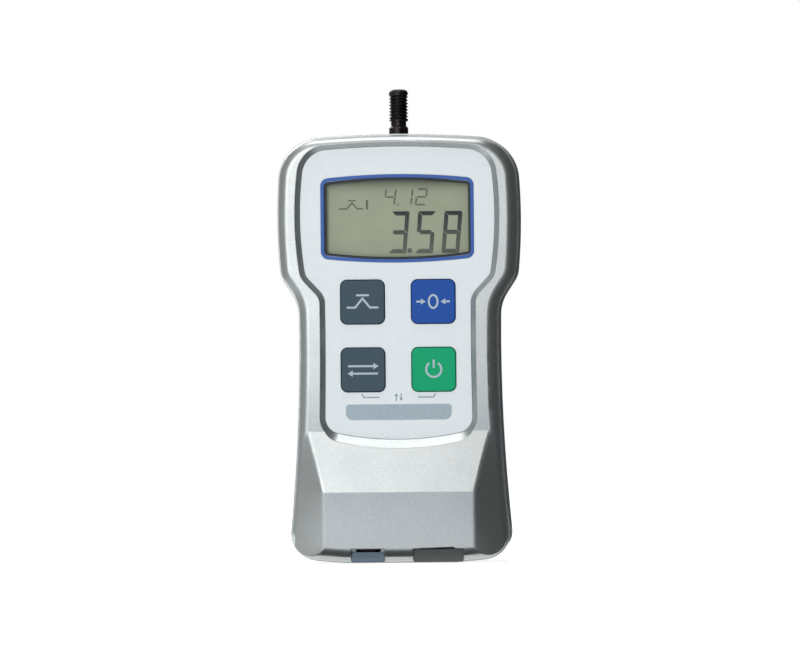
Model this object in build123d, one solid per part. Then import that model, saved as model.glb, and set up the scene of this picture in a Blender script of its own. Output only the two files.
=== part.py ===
"""Handheld digital force gauge, modelled in millimetres.

It stands upright: +Z runs up along the measuring shaft, the front faces -Y, +X is to the right.
The origin is the middle of the base. Flat drawings are made as (x, z) and stood upright.
"""
import os
from math import radians, sqrt, tan

from build123d import *

# ---------------------------------------------------------------------------------------------
# Case outline, seen from the front (half widths from the middle line)
# ---------------------------------------------------------------------------------------------
case_height = 133.0
case_depth = 38.0
head_half_width = 37.5            # widest place, beside the display
head_widest_z = 107.0
head_side_radius = 175.0
crown_radius = 320.0              # gentle arch of the top edge
crown_corner_radius = 13.5
shoulder_z = 88.8                 # where the head begins to narrow
neck_angle = 33.0                 # degrees from upright
shoulder_radius_share = 1.23      # of the step in from the head to the waist
neck_radius_share = 1.85
waist_half_width = 31.0
waist_z = 68.5
waist_radius = 570.0
foot_flat_half_width = 17.0       # flat part of the base
foot_rise = 1.5                   # how far the base has risen at its outer corners
foot_corner_radius = 8.5

# Case shells, front to back
parting_setback = 11.0            # from the front to the seam between the shells
seal_thickness = 0.5
seal_width = 1.0
seal_inset = 1.0
front_shell_inset = 0.5           # the front shell is this much smaller all round
front_wall = 2.0
rear_wall = 2.2
front_edge_radius = 3.0
back_edge_radius = 5.0
back_inner_radius = 0.8

# Raised lower front
rim_setback = 4.0                 # the rim lies this far behind the raised lower front
ramp_top_z = 40.8
ramp_foot_z = 22.1
hump_top_half_width = 28.0        # at the top of the ramp
hump_foot_half_width = 23.6       # at the foot of the ramp
hump_base_half_width = 23.2       # at the base
hump_edge_radius = 2.6
hump_flank_margin = 1.5           # rounded band of the shell left outside the flanks
hump_root_depth = 2.0             # how far the raised front is let into the shell
hump_overrun = 0.7                # share of the edge rounding that the top of the ramp runs into
hump_wall_lean = 0.6              # the flank ridge of the hollow moves in by this share of the wall
hump_hollow_gap = 4.5             # from the front plate down to the hollow of the raised front
base_edge_radius = 4.5

# Front plate in its recess
recess_depth = 1.5
overlay_thickness = 0.8
overlay_floor = 1.5               # shell wall under the plate
overlay_clearance = 0.1
overlay_top_z = 129.0
overlay_crown_radius = 260.0
overlay_inset = 7.4               # from the side of the head to the plate
overlay_widest_z = 107.7
overlay_side_radius = 115.0
overlay_corner_radius = 8.0
overlay_shoulder_z = 89.2
overlay_shoulder_radius = 4.0
overlay_neck_angle = 43.0
overlay_neck_radius = 6.0
overlay_waist_half_width = 22.5
overlay_waist_z = 70.0
overlay_waist_radius = 1150.0
overlay_bottom_z = 38.4
overlay_bottom_sag = 2.9          # rise of the bottom edge from the middle to its corners
overlay_foot_radius = 5.0
recess_wall_angle = 46.0
recess_mouth_overrun = 2.4        # how far its sloping wall is carried past the rim

# Display
window_z = 106.75
window_inset = 6.4                # from the side of the plate to the window
window_height = 24.6              # at the corners
window_bulge = 1.35               # top and bottom edges arch out by this
window_corner_radius = 2.4
window_least_radius = 0.5
window_frame_width = 0.95
window_frame_rise = 0.1
window_ledge = 0.5                # ledge of the shell under the window
window_clearance = 0.1
lcd_overlap = 0.8                 # the display runs this far under the window at each side
lcd_height = 29.0
lcd_thickness = 2.4
lcd_gap = 0.2                     # between the shell and the display
lcd_holder_wall = 1.8
lcd_holder_gap = 0.1
strip_height = 2.0
strip_end_gap = 3.5               # from the end of each strip to the end of the display
strip_thickness = 1.8

# Keys
key_size = 13.4
key_corner_radius = 1.9
key_pitch_x = 21.9
key_upper_z = 80.9
key_lower_z = 59.9
key_gap = 0.3                     # running gap round each key
key_rise = 0.6                    # how far a key stands proud of the plate
key_travel = 0.8
key_flange_width = 1.1
key_flange_thickness = 1.0
key_flange_gap = 0.3
key_mat_width = 39.0
key_mat_height = 40.0
key_mat_corner_radius = 2.0
key_mat_thickness = 0.8
key_dome_radius = 4.0
key_dome_height = 1.4

# Boards
board_thickness = 1.6
board_boss_gap = 0.9              # between the board and the upper case screw tubes
board_bottom_z = 48.0
board_top_z = 122.5
board_wing_inset = 6.0            # from the side of the head to the wide part of the board
board_wing_bottom_z = 92.0
board_wing_top_z = 116.5
board_screw_radius = 1.0
board_screw_head_radius = 2.2
board_screw_head_height = 1.5
board_screw_grip = 3.4            # screw length in the boss
board_boss_radius = 2.5
board_screw_inset = 2.7           # from the edge of the board to its screws
board_upper_screw_z = 113.5
board_middle_screw_z = 95.0
board_lower_screw_z = 51.0
chip_x = (19.0, -19.0, 19.0)
chip_z = (104.0, 100.0, 92.0)
chip_width = (7.0, 8.0, 5.0)
chip_height = (5.0, 8.0, 6.0)
chip_thickness = 1.3

# Measuring shaft
shaft_radius = 3.0
stud_length = 14.0                # from the top of the case to the tip
stud_thread_length = 9.9
stud_dome_height = 1.4
stud_chamfer = 0.4
relief_length = 1.6
relief_radius = 2.4
shaft_travel = 0.25
shaft_hole_gap = 0.3
shaft_bush_gap = 0.05
shaft_spigot_radius = 2.4
shaft_spigot_length = 9.0
spigot_end_gap = 0.4              # more than the travel
nut_gap = 0.35
nut_across_flats = 8.0
nut_height = 4.0
nut_bush_gap = 3.0
bush_radius = 5.0
bush_length = 6.0
bush_flange_radius = 6.5
bush_flange_thickness = 1.2
seal_ring_radius = 5.5
seal_ring_thickness = 1.4
seal_ring_gap = 0.1
seal_ring_headroom = 0.3

# Load cell and chassis
cell_width = 24.0
cell_height = 36.0
cell_board_gap = 1.7
cell_slot = 1.5
cell_slot_land = 4.0              # metal left beside the blind end of each slot
cell_arm = 8.0
cell_bore_radius = 5.5
gauge_width = 5.0
gauge_height = 3.2
gauge_thickness = 0.3
gauge_pitch = 8.0
cell_bolt_radius = 2.5
cell_bolt_head_radius = 4.25
cell_bolt_head_height = 5.0
cell_bolt_socket_radius = 2.25
cell_bolt_grip = 7.0
chassis_gap = 1.1                 # between the load cell and the chassis plate
chassis_thickness = 2.5
chassis_standoff = 4.7            # between the chassis plate and the back wall
chassis_half_width = 22.0
chassis_shelf_half_width = 12.0
chassis_shelf_thickness = 3.5
chassis_top_z = 126.5
chassis_bottom_z = 51.0
chassis_screw_x = 18.0
chassis_screw_z = (74.0, 104.0)
chassis_screw_radius = 1.4
chassis_screw_head_radius = 2.75
chassis_screw_head_height = 1.7
chassis_screw_end_gap = 0.7       # from its tip to the back wall
chassis_boss_radius = 3.2
chassis_boss_root = 0.5           # how far each boss runs into the back wall
insert_pitch_x = 40.0
insert_pitch_z = 62.0
insert_middle_z = 87.0
insert_radius = 4.0
insert_bore_radius = 1.65         # tapped M4
insert_bore_depth = 6.0
insert_setback = 0.1
insert_clearance = 0.1

# Case screws
case_screw_radius = 1.5
case_screw_head_radius = 2.75
case_screw_head_height = 1.8
case_screw_well_depth = 4.2
case_screw_boss_radius = 3.0
case_screw_socket_radius = 1.2
case_screw_grip = 3.6
case_screw_upper_inset = 8.1      # from the side of the head
case_screw_upper_z = 123.3
case_screw_lower_x = 25.0
case_screw_lower_z = 5.2
screw_clearance = 0.1

# Battery compartment
battery_radius = 7.2
battery_length = 49.5
battery_nub_radius = 2.75
battery_nub_length = 1.0
battery_edge_radius = 0.6
battery_pitch = 14.8
bay_middle_z = 24.8
bay_wall = 1.5
bay_half_length = 27.0
bay_half_height = 15.0
battery_gap = 0.2
contact_thickness = 0.4
contact_size = 9.0
spring_foot_radius = 4.0
spring_tip_radius = 2.25
door_thickness = 2.0
door_overlap = 0.8                # the door rests this far on the rim of the tray
door_gap = 0.3
door_peg_radius = 0.5
door_peg_length = 1.0
door_peg_gap = 0.05
door_grip_half_width = 7.0
door_grip_depth = 0.7
door_grip_height = 1.6
door_grip_setback = 3.4           # from the upper edge of the door

# Ports in the bottom front edge
port_top_z = 4.5
port_depth = 4.5
port_wall = 1.2
port_gap = 0.2
left_port = (-15.0, -4.6)         # x range
right_port = (4.2, 19.8)
left_cover_top_z = 3.5
left_cover_setback = 1.9          # behind the raised lower front
right_cover_setback = 1.6
cover_thickness = 1.2
cover_bottom_z = 0.35
socket_bottom_z = 2.7
socket_height = 2.6
socket_depth = 8.0
socket_wall = 0.35
socket_tongue_margin = 1.0
socket_tongue_thickness = 0.6
data_socket_width = 12.0
adapter_socket_width = 7.4
socket_board_thickness = 1.2
socket_board_gap = 0.2
socket_board_overhang = 1.5

# Rear label
label_width = 34.0
label_height = 14.0
label_recess = 0.3
label_thickness = 0.25
label_gap = 0.15

# ---------------------------------------------------------------------------------------------
# Places worked out from the sizes above
# ---------------------------------------------------------------------------------------------
front_y = -case_depth / 2
back_y = case_depth / 2
parting_y = front_y + parting_setback
neck_inset = head_half_width - waist_half_width
shoulder_radius = shoulder_radius_share * neck_inset
neck_radius = neck_radius_share * neck_inset
rim_y = front_y + rim_setback
overlay_front_y = rim_y + recess_depth
overlay_back_y = overlay_front_y + overlay_thickness
shell_inner_y = overlay_back_y + overlay_floor
front_shell_back_y = parting_y - seal_thickness
rear_inner_y = back_y - rear_wall
overlay_half_width = head_half_width - overlay_inset
window_width = 2 * (overlay_half_width - window_inset)
lcd_width = window_width + 2 * lcd_overlap
strip_length = lcd_width - 2 * strip_end_gap
lcd_front_y = shell_inner_y + lcd_gap
lcd_back_y = lcd_front_y + lcd_thickness
board_front_y = lcd_back_y + strip_thickness
board_back_y = board_front_y + board_thickness
key_x = key_pitch_x / 2
case_screw_upper_x = head_half_width - case_screw_upper_inset
board_half_width = case_screw_upper_x - case_screw_boss_radius - board_boss_gap
board_wing_half_width = head_half_width - board_wing_inset
board_upper_screw_x = board_wing_half_width - board_screw_inset
board_lower_screw_x = board_half_width - board_screw_inset
case_top_inner_z = case_height - rear_wall
stud_top_z = case_height + stud_length
chassis_back_y = rear_inner_y - chassis_standoff
chassis_front_y = chassis_back_y - chassis_thickness
cell_front_y = board_back_y + cell_board_gap
cell_back_y = chassis_front_y - chassis_gap
shaft_y = (cell_front_y + cell_back_y) / 2
chassis_screw_end_y = rear_inner_y - chassis_screw_end_gap
seal_ring_top_z = case_top_inner_z - seal_ring_headroom
bush_top_z = seal_ring_top_z - seal_ring_thickness
shelf_top_z = bush_top_z - bush_flange_thickness
nut_top_z = shelf_top_z - chassis_shelf_thickness - bush_length
cell_top_z = nut_top_z - nut_height - nut_gap - nut_bush_gap
cell_bottom_z = cell_top_z - cell_height
cell_middle_z = cell_top_z - cell_height / 2
battery_y = rear_inner_y - battery_radius - battery_gap
tray_front_y = battery_y - battery_radius - battery_gap - bay_wall
port_back_y = front_y + port_depth
far = 200.0                       # beyond every face
over = 1.0                        # how far a cut runs past the face it goes through


# ---------------------------------------------------------------------------------------------
# Helpers
# ---------------------------------------------------------------------------------------------
def slab(flat, near_y, rear_y):
    """Stand a flat (x, z) drawing upright and give it depth from near_y back to rear_y."""
    return extrude(Plane.XZ.offset(-rear_y) * flat, amount=rear_y - near_y)


def block(x_range, y_range, z_range):
    """Box between two corners."""
    size = [limits[1] - limits[0] for limits in (x_range, y_range, z_range)]
    middle = [(limits[1] + limits[0]) / 2 for limits in (x_range, y_range, z_range)]
    return Pos(*middle) * Box(*size)


def post(radius, x, y, bottom, top):
    """Upright cylinder."""
    return Pos(x, y, (bottom + top) / 2) * Cylinder(radius, top - bottom)


def pin(radius, x, z, near_y, rear_y):
    """Cylinder that runs from front to back."""
    return slab(Pos(x, z) * Circle(radius), near_y, rear_y)


def crosswise(radius, y, z, left_x, right_x):
    """Cylinder that runs from left to right."""
    rod = Cylinder(radius, right_x - left_x, rotation=(0, 90, 0))
    return Pos((left_x + right_x) / 2, y, z) * rod


def group(solids):
    """Several separate solids in one node."""
    return Compound(children=list(solids))


def both_sides(x):
    """The same distance to the left and to the right."""
    return (-x, x)


def round_corners(flat, near_height, radius, beyond=1.0):
    """Round the corners of a flat drawing that lie near a height, beyond a half width."""
    corners = [
        corner for corner in flat.vertices()
        if abs(corner.Y - near_height) < over and abs(corner.X) > beyond
    ]
    return fillet(corners, radius)


def shouldered_outline(crown, side, neck, waist, foot_points, shoulder_height):
    """Closed outline of a head that narrows through a neck to a waist, both sides alike.

    crown gives a height for each x, side and waist give a half width for each height.
    """
    corner_x = side(shoulder_height)
    for _ in range(20):
        corner_z = crown(corner_x)
        corner_x = side(corner_z)
    shoulder_x = side(shoulder_height)
    neck_z = shoulder_height
    for _ in range(20):
        neck_z = shoulder_height - (shoulder_x - waist(neck_z)) / tan(radians(neck))
    foot_x, foot_z = foot_points[0]
    side_z = (corner_z + shoulder_height) / 2
    waist_mid_z = (neck_z + foot_z) / 2
    right = [
        ThreePointArc((corner_x, corner_z), (side(side_z), side_z), (shoulder_x, shoulder_height)),
        Line((shoulder_x, shoulder_height), (waist(neck_z), neck_z)),
        ThreePointArc((waist(neck_z), neck_z), (waist(waist_mid_z), waist_mid_z), (foot_x, foot_z)),
    ]
    right += [Line(start, end) for start, end in zip(foot_points, foot_points[1:])]
    left = [mirror(edge, about=Plane.YZ) for edge in right]
    top = ThreePointArc((-corner_x, corner_z), (0, crown(0)), (corner_x, corner_z))
    return [top] + right + left, corner_z, neck_z


# ---------------------------------------------------------------------------------------------
# Outlines
# ---------------------------------------------------------------------------------------------
def case_outline(inset=0.0):
    """Front view of the case, moved in by inset."""
    def crown(x):
        return case_height - x ** 2 / (2 * crown_radius)

    def side(z):
        return head_half_width - (z - head_widest_z) ** 2 / (2 * head_side_radius)

    foot = [(waist_side(foot_rise), foot_rise), (foot_flat_half_width, 0)]
    edges, corner_z, neck_z = shouldered_outline(crown, side, neck_angle, waist_side, foot, shoulder_z)
    base = Line((-foot_flat_half_width, 0), (foot_flat_half_width, 0))
    flat = make_face(Curve() + edges + [base])
    flat = round_corners(flat, corner_z, crown_corner_radius)
    flat = round_corners(flat, shoulder_z, shoulder_radius)
    flat = round_corners(flat, neck_z, neck_radius)
    flat = round_corners(flat, foot_rise, foot_corner_radius, beyond=foot_flat_half_width + over)
    if inset:
        flat = offset(flat, amount=-inset)
    return flat


def overlay_outline(grow=0.0):
    """Front view of the white plate, moved out by grow."""
    def crown(x):
        return overlay_top_z + grow - x ** 2 / (2 * overlay_crown_radius)

    def side(z):
        return overlay_half_width + grow - (z - overlay_widest_z) ** 2 / (2 * overlay_side_radius)

    def waist(z):
        return overlay_waist_half_width + grow + (z - overlay_waist_z) ** 2 / (2 * overlay_waist_radius)

    shoulder = overlay_shoulder_z - grow * tan(radians(overlay_neck_angle / 2))
    foot_z = overlay_bottom_z + overlay_bottom_sag - grow
    foot_x = waist(foot_z)
    edges, corner_z, neck_z = shouldered_outline(
        crown, side, overlay_neck_angle, waist, [(foot_x, foot_z)], shoulder)
    bottom = ThreePointArc((-foot_x, foot_z), (0, overlay_bottom_z - grow), (foot_x, foot_z))
    flat = make_face(Curve() + edges + [bottom])
    flat = round_corners(flat, corner_z, overlay_corner_radius + grow)
    flat = round_corners(flat, shoulder, overlay_shoulder_radius + grow)
    flat = round_corners(flat, neck_z, overlay_neck_radius - grow)
    return round_corners(flat, foot_z, overlay_foot_radius + grow)


def window_outline(inset=0.0):
    """Barrel-shaped window: straight sides, arched top and bottom."""
    half_width = window_width / 2 - inset
    half_height = window_height / 2 - inset
    middle = half_height + window_bulge
    edges = [
        ThreePointArc((-half_width, half_height), (0, middle), (half_width, half_height)),
        Line((half_width, half_height), (half_width, -half_height)),
        ThreePointArc((half_width, -half_height), (0, -middle), (-half_width, -half_height)),
        Line((-half_width, -half_height), (-half_width, half_height)),
    ]
    flat = make_face(Curve() + edges)
    flat = fillet(flat.vertices(), max(window_corner_radius - inset, window_least_radius))
    return Pos(0, window_z) * flat


def key_places():
    """Middle of each key: name, x, z."""
    return [
        ("peak_key", -key_x, key_upper_z),
        ("zero_key", key_x, key_upper_z),
        ("unit_key", -key_x, key_lower_z),
        ("power_key", key_x, key_lower_z),
    ]


def key_outline(grow=0.0):
    return RectangleRounded(key_size + 2 * grow, key_size + 2 * grow, key_corner_radius + grow)


def keys_cut(grow, near_y, rear_y):
    """All four key shapes as one cutter."""
    cuts = [slab(Pos(x, z) * key_outline(grow), near_y, rear_y) for _, x, z in key_places()]
    return group(cuts)


# ---------------------------------------------------------------------------------------------
# Case
# ---------------------------------------------------------------------------------------------
def waist_side(z):
    """Half width of the case below the neck."""
    return waist_half_width + (z - waist_z) ** 2 / (2 * waist_radius)


def hump(inset=0.0):
    """Raised lower front: a ramp, a flat face and two sloping flanks, moved in by inset."""
    ramp = (rim_y - front_y) / (ramp_top_z - ramp_foot_z)
    spread = (hump_top_half_width - hump_foot_half_width) / (ramp_top_z - ramp_foot_z)
    # The flanks run out on the rounded edge of the shell, hump_flank_margin in from its side.
    lean = front_edge_radius - hump_flank_margin
    flank_foot_y = rim_y + front_edge_radius - sqrt(front_edge_radius ** 2 - lean ** 2)
    overrun = (flank_foot_y - rim_y) * hump_overrun / ramp
    stations = [
        (-hump_root_depth, hump_base_half_width, front_y),
        (ramp_foot_z, hump_foot_half_width, front_y),
        (ramp_top_z + overrun, hump_top_half_width + spread * overrun, rim_y + ramp * overrun),
    ]
    sections = []
    for z, half_width, face_y in stations:
        top_x = half_width - inset * hump_wall_lean
        foot_x = waist_side(z) - front_shell_inset - hump_flank_margin - inset
        foot_y = flank_foot_y + inset
        root_y = foot_y + hump_root_depth
        right = [(top_x, face_y + inset), (foot_x, foot_y), (foot_x, root_y)]
        left = [(-x, y) for x, y in reversed(right)]
        sections.append(Plane.XY.offset(z) * make_face(Polyline(*right, *left, close=True)))
    body = loft(sections, ruled=True)
    if not inset:
        ridges = [
            edge for edge in body.edges()
            if abs(edge.center().X) > over and edge.center().Y < flank_foot_y - over / 2
            and edge.bounding_box().size.Z > hump_root_depth
        ]
        body = fillet(ridges, hump_edge_radius)
    return body


def hump_limits(inset=0.0):
    """Space that holds the raised lower front, with its lower front edges rounded."""
    space = slab(case_outline(front_shell_inset + inset), front_y + inset, front_shell_back_y)
    space &= block((-far, far), (-far, far), (-far, waist_z))
    edges = space.faces().sort_by(Axis.Y)[0].edges()
    lower_edges = [edge for edge in edges if edge.center().Z < waist_z - over / 2]
    return fillet(lower_edges, base_edge_radius - inset)


def front_shell_solid():
    """Front shell before anything is cut into it."""
    shell = slab(case_outline(front_shell_inset), rim_y, front_shell_back_y)
    rim_edges = shell.faces().sort_by(Axis.Y)[0].edges()
    shell = fillet(rim_edges, front_edge_radius)
    return shell + (hump() & hump_limits())


def front_cavity():
    """Inside of the front shell."""
    inner = case_outline(front_shell_inset + front_wall)
    hollow = slab(inner, shell_inner_y, parting_y)
    below_recess = block((-far, far), (-far, far), (-far, overlay_bottom_z - hump_hollow_gap))
    raised = hump(front_wall) & hump_limits(front_wall) & below_recess
    return hollow + raised


def board_screw_places():
    places = []
    for x, z in [
        (board_upper_screw_x, board_upper_screw_z),
        (board_upper_screw_x, board_middle_screw_z),
        (board_lower_screw_x, board_lower_screw_z),
    ]:
        places += [(-x, z), (x, z)]
    return places


def case_screw_places():
    rows = ((case_screw_upper_x, case_screw_upper_z), (case_screw_lower_x, case_screw_lower_z))
    return [(side * x, z) for x, z in rows for side in (-1, 1)]


def port_notch(x_range, grow=0.0):
    """Space of one port, open to the front and downwards."""
    return block(
        (x_range[0] - grow, x_range[1] + grow),
        (front_y - over, port_back_y + grow), (-over, port_top_z + grow))


def socket_block(middle_x, width, grow=0.0):
    """Outer shape of a socket."""
    return block(
        (middle_x - width / 2 - grow, middle_x + width / 2 + grow),
        (port_back_y, port_back_y + port_wall + socket_depth),
        (socket_bottom_z - grow, socket_bottom_z + socket_height + grow))


def middle_of(x_range):
    return (x_range[0] + x_range[1]) / 2


def front_case():
    outer = front_shell_solid()
    shell = outer - front_cavity()
    # Bosses for the board, the case screws and the walls behind the ports.
    bosses = [
        pin(board_boss_radius, x, z, overlay_back_y, board_front_y) for x, z in board_screw_places()
    ]
    bosses += [
        pin(case_screw_boss_radius, x, z, front_y, front_shell_back_y) for x, z in case_screw_places()
    ]
    bosses += [port_notch(x_range, grow=port_wall) for x_range in (left_port, right_port)]
    for boss in bosses:
        shell += boss & outer
    # Recess of the front plate, with its sloping wall.
    seat = overlay_outline(overlay_clearance)
    shell -= slab(seat, rim_y, overlay_back_y)
    mouth_reach = recess_depth + recess_mouth_overrun
    mouth_spread = overlay_clearance + mouth_reach * tan(radians(recess_wall_angle))
    mouth = overlay_outline(mouth_spread)
    seat_plane = Plane.XZ.offset(-overlay_front_y)
    shell -= loft([seat_plane * seat, seat_plane.offset(mouth_reach) * mouth], ruled=True)
    # Window and keys.
    shell -= slab(window_outline(window_frame_width + window_ledge), rim_y, 0)
    shell -= keys_cut(key_gap, rim_y, 0)
    # Screw holes.
    for x, z in board_screw_places():
        hole_front = board_front_y - board_screw_grip - screw_clearance
        shell -= pin(board_screw_radius + screw_clearance, x, z, hole_front, board_front_y)
    for x, z in case_screw_places():
        hole_front = front_shell_back_y - case_screw_grip - screw_clearance
        shell -= pin(case_screw_radius + screw_clearance, x, z, hole_front, front_shell_back_y)
    # Ports.
    for x_range in (left_port, right_port):
        shell -= port_notch(x_range)
    shell -= socket_block(middle_of(left_port), adapter_socket_width, screw_clearance)
    shell -= socket_block(middle_of(right_port), data_socket_width, screw_clearance)
    return shell


def insert_places():
    half_x = insert_pitch_x / 2
    half_z = insert_pitch_z / 2
    return [(x, insert_middle_z + dz) for x in both_sides(half_x) for dz in both_sides(half_z)]


def chassis_screw_places():
    return [(x, z) for x in both_sides(chassis_screw_x) for z in chassis_screw_z]


def door_half_length():
    return bay_half_length + door_overlap


def door_z_range():
    half = bay_half_height + door_overlap
    return (bay_middle_z - half, bay_middle_z + half)


def door_axis():
    """Hinge axis of the door: y, z."""
    return (back_y - door_thickness / 2, door_z_range()[0] + door_thickness / 2)


def rear_case():
    outer = slab(case_outline(), parting_y, back_y)
    back_edges = outer.faces().sort_by(Axis.Y)[-1].edges()
    outer = fillet(back_edges, back_edge_radius)
    cavity = slab(case_outline(rear_wall), parting_y, rear_inner_y)
    cavity_edges = cavity.faces().sort_by(Axis.Y)[-1].edges()
    cavity = fillet(cavity_edges, back_inner_radius)
    shell = outer - cavity
    # Tubes round the case screws, bosses under the chassis screws.
    for x, z in case_screw_places():
        shell += pin(case_screw_boss_radius, x, z, parting_y, back_y) & outer
    for x, z in chassis_screw_places():
        shell += pin(chassis_boss_radius, x, z, chassis_back_y, rear_inner_y + chassis_boss_root)
    for x, z in case_screw_places():
        shell -= pin(case_screw_radius + screw_clearance, x, z, parting_y, back_y)
        shell -= pin(
            case_screw_head_radius + screw_clearance, x, z, back_y - case_screw_well_depth, back_y)
    for x, z in chassis_screw_places():
        hole_back = chassis_screw_end_y + screw_clearance
        shell -= pin(chassis_screw_radius + screw_clearance, x, z, chassis_back_y, hole_back)
    for x, z in insert_places():
        shell -= pin(insert_radius + insert_clearance, x, z, rear_inner_y - over, back_y + over)
    # Hole for the measuring shaft.
    shaft_hole = shaft_radius + shaft_hole_gap
    shell -= post(shaft_hole, 0, shaft_y, case_top_inner_z - over, case_height + over)
    # Battery opening with its peg holes.
    opening_z = door_z_range()
    opening_x = door_half_length() + door_gap
    shell -= block(
        both_sides(opening_x), (rear_inner_y - over, back_y + over),
        (opening_z[0] - door_gap, opening_z[1] + door_gap))
    peg_y, peg_z = door_axis()
    peg_reach = door_half_length() + door_peg_length + door_gap
    shell -= crosswise(door_peg_radius + door_peg_gap, peg_y, peg_z, -peg_reach, peg_reach)
    # Seat of the rear label.
    shell -= block(
        both_sides(label_width / 2), (back_y - label_recess, back_y + over),
        (insert_middle_z - label_height / 2, insert_middle_z + label_height / 2))
    return shell


def case_seal():
    ring = case_outline(seal_inset) - case_outline(seal_inset + seal_width)
    return slab(ring, front_shell_back_y, parting_y)


def case_screws():
    screws = []
    head_seat_y = back_y - case_screw_well_depth
    for x, z in case_screw_places():
        shank = pin(case_screw_radius, x, z, front_shell_back_y - case_screw_grip, head_seat_y)
        head = pin(case_screw_head_radius, x, z, head_seat_y, head_seat_y + case_screw_head_height)
        hexagon = RegularPolygon(case_screw_socket_radius, 6)
        recess = slab(Pos(x, z) * hexagon, head_seat_y + case_screw_head_height / 2, back_y)
        screws.append(shank + head - recess)
    return group(screws)


# ---------------------------------------------------------------------------------------------
# Front plate, window and display
# ---------------------------------------------------------------------------------------------
def front_overlay():
    plate = slab(overlay_outline(), overlay_front_y, overlay_back_y)
    plate -= slab(window_outline(-window_clearance), overlay_front_y, overlay_back_y)
    return plate - keys_cut(key_gap, overlay_front_y, overlay_back_y)


def window_frame():
    ring = window_outline() - window_outline(window_frame_width)
    return slab(ring, overlay_front_y - window_frame_rise, overlay_back_y)


def display_window():
    return slab(window_outline(window_frame_width + window_clearance), overlay_front_y, overlay_back_y)


def lcd_glass():
    return slab(Pos(0, window_z) * Rectangle(lcd_width, lcd_height), lcd_front_y, lcd_back_y)


def lcd_holder():
    outer = Rectangle(lcd_width + 2 * lcd_holder_wall, lcd_height + 2 * lcd_holder_wall)
    inner = Rectangle(lcd_width + 2 * lcd_holder_gap, lcd_height + 2 * lcd_holder_gap)
    return slab(Pos(0, window_z) * (outer - inner), shell_inner_y, board_front_y)


def lcd_contact_strips():
    reach = (lcd_height - strip_height) / 2
    flat = Rectangle(strip_length, strip_height)
    return group(
        slab(Pos(0, window_z + dz) * flat, lcd_back_y, board_front_y) for dz in both_sides(reach))


# ---------------------------------------------------------------------------------------------
# Keys
# ---------------------------------------------------------------------------------------------
def key(x, z):
    """Key cap with a flange that keeps it behind the shell."""
    flange_front = shell_inner_y + key_flange_gap
    flange_back = flange_front + key_flange_thickness
    cap = slab(Pos(x, z) * key_outline(), overlay_front_y - key_rise, flange_front)
    top_edges = cap.faces().sort_by(Axis.Y)[0].edges()
    cap = fillet(top_edges, key_rise / 2)
    return cap + slab(Pos(x, z) * key_outline(key_flange_width), flange_front, flange_back)


def key_mat():
    middle_z = (key_upper_z + key_lower_z) / 2
    flat = Pos(0, middle_z) * RectangleRounded(key_mat_width, key_mat_height, key_mat_corner_radius)
    mat_front_y = board_front_y - key_mat_thickness
    sheet = slab(flat, mat_front_y, board_front_y)
    for _, x, z in key_places():
        sheet += pin(key_dome_radius, x, z, mat_front_y - key_dome_height, board_front_y)
    return sheet


# ---------------------------------------------------------------------------------------------
# Boards
# ---------------------------------------------------------------------------------------------
def main_board():
    tall = block(
        both_sides(board_half_width), (board_front_y, board_back_y), (board_bottom_z, board_top_z))
    wings = block(
        both_sides(board_wing_half_width), (board_front_y, board_back_y),
        (board_wing_bottom_z, board_wing_top_z))
    board = tall + wings
    for x, z in board_screw_places():
        board -= pin(board_screw_radius + screw_clearance, x, z, board_front_y, board_back_y)
    return board


def board_screws():
    screws = []
    for x, z in board_screw_places():
        shank = pin(board_screw_radius, x, z, board_front_y - board_screw_grip, board_back_y)
        head = pin(board_screw_head_radius, x, z, board_back_y, board_back_y + board_screw_head_height)
        screws.append(shank + head)
    return group(screws)


def board_chips():
    """Parts on the rear of the main board, beside the load cell."""
    return group(
        slab(Pos(x, z) * Rectangle(width, height), board_back_y, board_back_y + chip_thickness)
        for x, z, width, height in zip(chip_x, chip_z, chip_width, chip_height))


# ---------------------------------------------------------------------------------------------
# Measuring shaft, load cell and chassis
# ---------------------------------------------------------------------------------------------
def measuring_shaft():
    thread_bottom = stud_top_z - stud_thread_length
    relief_bottom = thread_bottom - relief_length
    spigot_top = cell_top_z + nut_gap
    shaft = post(shaft_spigot_radius, 0, shaft_y, cell_top_z - shaft_spigot_length, spigot_top)
    body = post(shaft_radius, 0, shaft_y, spigot_top, relief_bottom)
    body = chamfer(body.faces().sort_by(Axis.Z)[-1].edges(), stud_chamfer)
    neck = post(relief_radius, 0, shaft_y, relief_bottom, thread_bottom)
    stud = post(shaft_radius, 0, shaft_y, thread_bottom, stud_top_z)
    stud = chamfer(stud.faces().sort_by(Axis.Z)[0].edges(), stud_chamfer)
    stud = fillet(stud.faces().sort_by(Axis.Z)[-1].edges(), stud_dome_height)
    return shaft + body + neck + stud


def shaft_lock_nut():
    bottom = cell_top_z + nut_gap
    flat = RegularPolygon(nut_across_flats / 2, 6, major_radius=False) - Circle(shaft_radius)
    return Pos(0, shaft_y, bottom) * extrude(flat, nut_height)


def shaft_seal():
    ring = Circle(seal_ring_radius) - Circle(shaft_radius + seal_ring_gap)
    return Pos(0, shaft_y, bush_top_z) * extrude(ring, seal_ring_thickness)


def guide_bush():
    bore = Circle(shaft_radius + shaft_bush_gap)
    flange = extrude(Circle(bush_flange_radius) - bore, bush_flange_thickness)
    barrel = extrude(Circle(bush_radius) - bore, -bush_length)
    return Pos(0, shaft_y, shelf_top_z) * (barrel + flange)


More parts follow.
